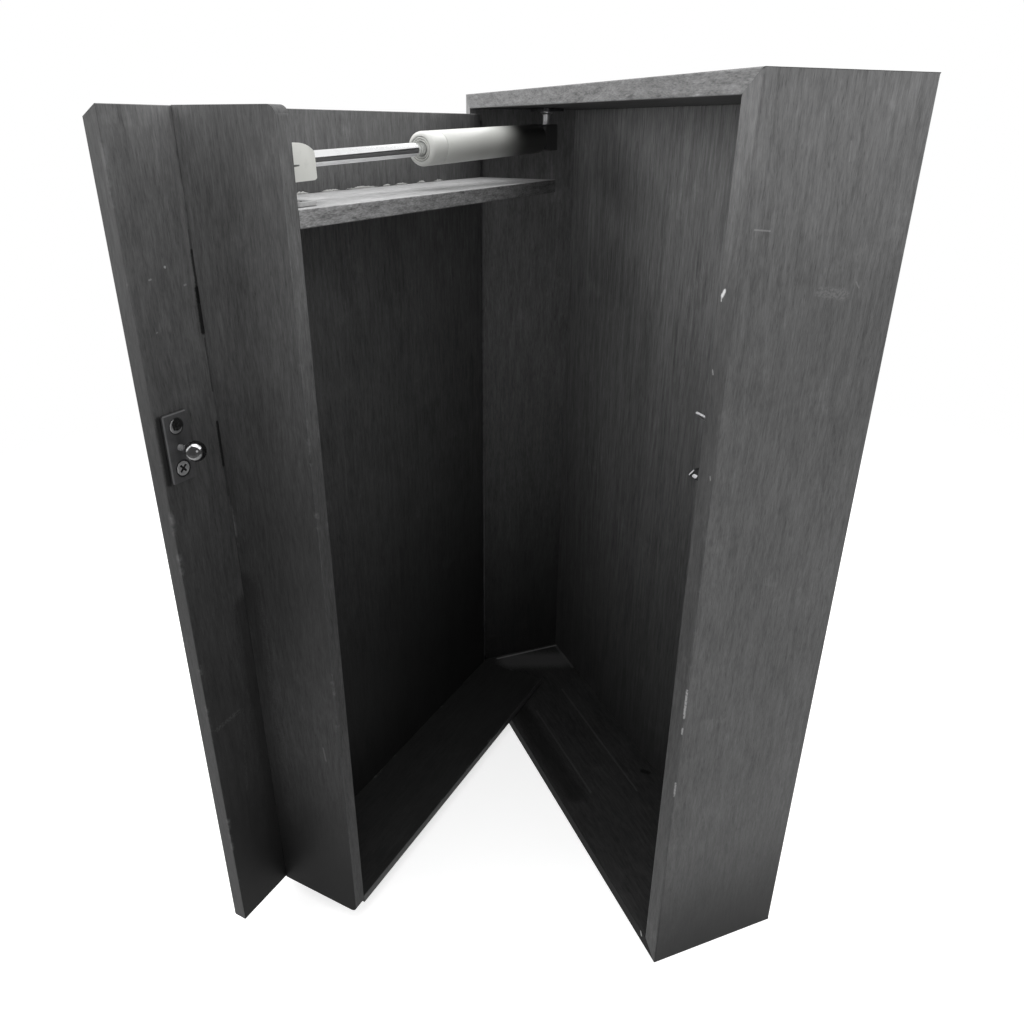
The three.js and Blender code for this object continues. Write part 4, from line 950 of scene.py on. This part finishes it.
screwRow, coilSpring, glueBead = makeScrewRow(), makeCoilSpring(), makeGlueBead()
trayTurn = trayPlace["heading"]
hingeScrew = dict(head=2.3, headDepth=1.2, shank=0.9, length=6.4, count=5, finish=hingeFinish, slot="zinc_steel")
plainScrew = dict(head=2.9, headDepth=1.6, shank=1.3, length=7.4, count=2, finish=screwFinish, slot="zinc_steel")
screwRows = {
    "hingeBoxScrews": dict(hingeScrew, node="hinge_box_screw", body="box", aim=(0, math.pi / 2, 0), seed=3),
    "hingeTrayScrews": dict(hingeScrew, node="hinge_tray_screw", body="tray", aim=(0, -math.pi / 2, trayTurn), seed=5),
    "boxStudScrews": dict(plainScrew, node="strut_box_screw", body="box", aim=(math.pi, 0, 0), seed=7,
                          finish=blackSteelFinish, slot="dark_steel"),
    "trayStudScrews": dict(plainScrew, node="strut_tray_screw", body="tray", aim=(0, 0, trayTurn), seed=8),
    "strikeScrews": dict(plainScrew, node="strike_screw", body="tray", aim=(-math.pi / 2, 0, trayTurn), seed=11,
                         head=3.6, headDepth=1.9, shank=1.4, length=7.6, finish=strikeScrewPaintedShade),
    "catchScrews": dict(plainScrew, node="catch_screw", body="box", aim=(0, -math.pi / 2, 0), seed=13, length=9.5),
}


# The middle of a screw's flat head: the end of its node that lies furthest along its axis
def headCentre(node, axis):
    corners = [vertex.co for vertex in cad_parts[node].data.vertices]
    top, flat = max(corner.dot(axis) for corner in corners), 1e-6
    face = [corner for corner in corners if corner.dot(axis) > top - flat]
    spans = [[round(corner[i], 7) for corner in face] for i in range(3)]
    return Vector([(min(span) + max(span)) / 2 for span in spans])


for name, look in screwRows.items():
    axis = Euler(look["aim"]).to_matrix() @ Vector((0, 0, 1))
    nodes = [f"{look['node']}_{i + 1}" for i in range(look["count"])]
    first, second = (headCentre(node, axis) for node in nodes[:2])
    screw = crossHead(name + "Pattern", look)
    piece = grown(name, screwRow, {
        "Screw": screw, "Count": look["count"], "First": first, "Step": second - first, "Aim": look["aim"],
        "Seed": look["seed"], "Finish": look["finish"], "Dirt": darkRecessFinish})
    bpy.data.objects.remove(screw)
    settle(piece, look["body"], nodes)
print("screws set")

springLook = dict(turns=4.0, wire=0.35 * mm, radius=1.9 * mm)
for name, node in (("catchUpperSpring", "catch_upper_spring"), ("catchLowerSpring", "catch_lower_spring")):
    low, high = (Vector(corner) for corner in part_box(node))
    middle, wire = (low + high) / 2, springLook["wire"]
    piece = grown(name, coilSpring, {
        "Turns": springLook["turns"], "Radius": springLook["radius"], "Length": high.x - low.x - 2 * wire,
        "Wire": wire, "Start": Vector((low.x + wire, middle.y, middle.z)), "Finish": zincFinish})
    settle(piece, "box", [node])

# Glue squeezed out along the cross board's back crease: middle and length of each bead
glueLook = dict(depth=0.0117, height=0.4278, points=110, thick=0.001, lumps=420.0, ragged=0.0013, seed=4.2,
                beads=[(0.191, 0.012), (0.167, 0.016), (0.139, 0.03), (0.115, 0.008), (0.1, 0.014), (0.078, 0.01),
                       (0.058, 0.012)])
glueFinish = mouldedFinish("glueFinish", dict(color=(0.42, 0.42, 0.41), roughness=0.35, mottle=0.3, grime=0.3))
for i, (middle, length) in enumerate(glueLook["beads"], 1):
    ends = [trayFrame @ Vector((middle + side * length / 2, glueLook["depth"], glueLook["height"])) for side in (-1, 1)]
    piece = grown(f"crossBoardGlue{i}", glueBead, {
        "Start": ends[0], "End": ends[1], "Points": glueLook["points"], "Thick": glueLook["thick"],
        "Lumps": glueLook["lumps"], "Ragged": glueLook["ragged"], "Seed": glueLook["seed"] + i, "Finish": glueFinish})
    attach(piece, "tray")
print("springs and glue made")

# CAD nodes whose shape already serves, with better finishes
carried = {
    "hinge_box_leaf": hingeFinish, "hinge_tray_leaf": hingeFinish, "hinge_pin": hingeFinish,
    "catch_pin_1": zincFinish, "catch_pin_2": zincFinish, "strut_end_plug": zincFinish,
    "strut_rod_guide": zincFinish, "strut_rod_seal": rubberFinish, "strut_piston": zincFinish,
}
for node, finish in carried.items():
    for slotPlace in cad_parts[node].material_slots:
        slotPlace.material = finish

# Camera at the photograph's own angle
viewpoint = dict(place=(0.4407, -0.25255, 0.4597), yaw=68.410, pitch=-25.128, roll=0.280, lens=28.836,
                 sensor=36.0, shiftX=0.00928, shiftY=-0.00062, near=0.01)
yaw, pitch, roll = (math.radians(viewpoint[key]) for key in ("yaw", "pitch", "roll"))
forward = Vector((-math.sin(yaw) * math.cos(pitch), math.cos(yaw) * math.cos(pitch), math.sin(pitch)))
level = Vector((math.cos(yaw), math.sin(yaw), 0))
upward = level.cross(forward)
right = level * math.cos(roll) + upward * math.sin(roll)
top = upward * math.cos(roll) - level * math.sin(roll)
cameraData = bpy.data.cameras.new("camera")
cameraData.sensor_width, cameraData.lens = viewpoint["sensor"], viewpoint["lens"]
cameraData.shift_x, cameraData.shift_y = viewpoint["shiftX"], viewpoint["shiftY"]
cameraData.clip_start = viewpoint["near"]
camera = bpy.data.objects.new("camera", cameraData)
camera.matrix_world = Matrix.Translation(viewpoint["place"]) @ Matrix((right, top, -forward)).transposed().to_4x4()
scene.collection.objects.link(camera)
scene.camera = camera
scene.view_settings.view_transform = "Standard"

# Soft studio light: a large box overhead, weaker ones to the side and in front
softboxes = {
    "overhead": dict(place=(0.02, -0.12, 1.45), aim=(0.0, -0.06, 0.3), size=1.1, power=12.0),
    "left": dict(place=(-0.5, -1.2, 1.0), aim=(0.0, -0.05, 0.3), size=1.3, power=16.0),
    "right": dict(place=(0.75, 1.1, 1.0), aim=(0.0, 0.0, 0.3), size=0.8, power=7.0),
    "back": dict(place=(-1.0, 1.0, 1.0), aim=(0.0, 0.0, 0.25), size=0.9, power=8.0),
}
for name, look in softboxes.items():
    lamp = bpy.data.lights.new(name, "AREA")
    lamp.shape, lamp.size, lamp.energy = "SQUARE", look["size"], look["power"]
    holder = bpy.data.objects.new(name, lamp)
    holder.location = look["place"]
    holder.rotation_euler = (Vector(look["aim"]) - Vector(look["place"])).to_track_quat("-Z", "Y").to_euler()
    scene.collection.objects.link(holder)


# 1 where a ray comes from the camera, a mirror or glass, else 0
def seenRay(tree):
    path = addNode(tree, "ShaderNodeLightPath").outputs
    either = maths(tree, "MAXIMUM", path["Is Camera Ray"], path["Is Glossy Ray"])
    return maths(tree, "MAXIMUM", either, path["Is Transmission Ray"])


studio = dict(ambient=0.7, seen=1.0)
world = bpy.data.worlds.new("studioWorld")
world.use_nodes = True
scene.world = world
worldTree = world.node_tree
background = next(node for node in worldTree.nodes if node.type == "BACKGROUND")
plug(worldTree, background, {
    "Color": (1, 1, 1, 1), "Strength": mixNumber(worldTree, seenRay(worldTree), studio["ambient"], studio["seen"])})

# The floor shows white and keeps the shelf's shadow, and fades out into the background
floorLook = dict(half=2.0, height=-0.0004, solid=0.45, gone=1.1, pale=0.6, bounce=0.15, lift=0.72, roughness=0.9)
floorMesh = bpy.data.meshes.new("floor")
floorCorners = [(x * floorLook["half"], y * floorLook["half"], floorLook["height"])
                for x, y in ((-1, -1), (1, -1), (1, 1), (-1, 1))]
floorMesh.from_pydata(floorCorners, [], [(0, 1, 2, 3)])
floorMaterial, floorTree, floorShader, floorSpot = newMaterial("floorPaint")
seen = seenRay(floorTree)
pale = mixNumber(floorTree, seen, floorLook["bounce"], floorLook["pale"])
reach = vectors(floorTree, "LENGTH", floorSpot, result=1)
plug(floorTree, floorShader, {
    "Base Color": tinted(floorTree, pale, (1, 1, 1)), "Roughness": floorLook["roughness"], "Specular IOR Level": 0.0,
    "Emission Color": (1, 1, 1, 1), "Emission Strength": times(floorTree, seen, floorLook["lift"]),
    "Alpha": ramp(floorTree, reach, floorLook["solid"], floorLook["gone"], 1.0, 0.0)})
floor = newPiece("floor", floorMesh, floorMaterial)
print("camera, lights and floor ready")
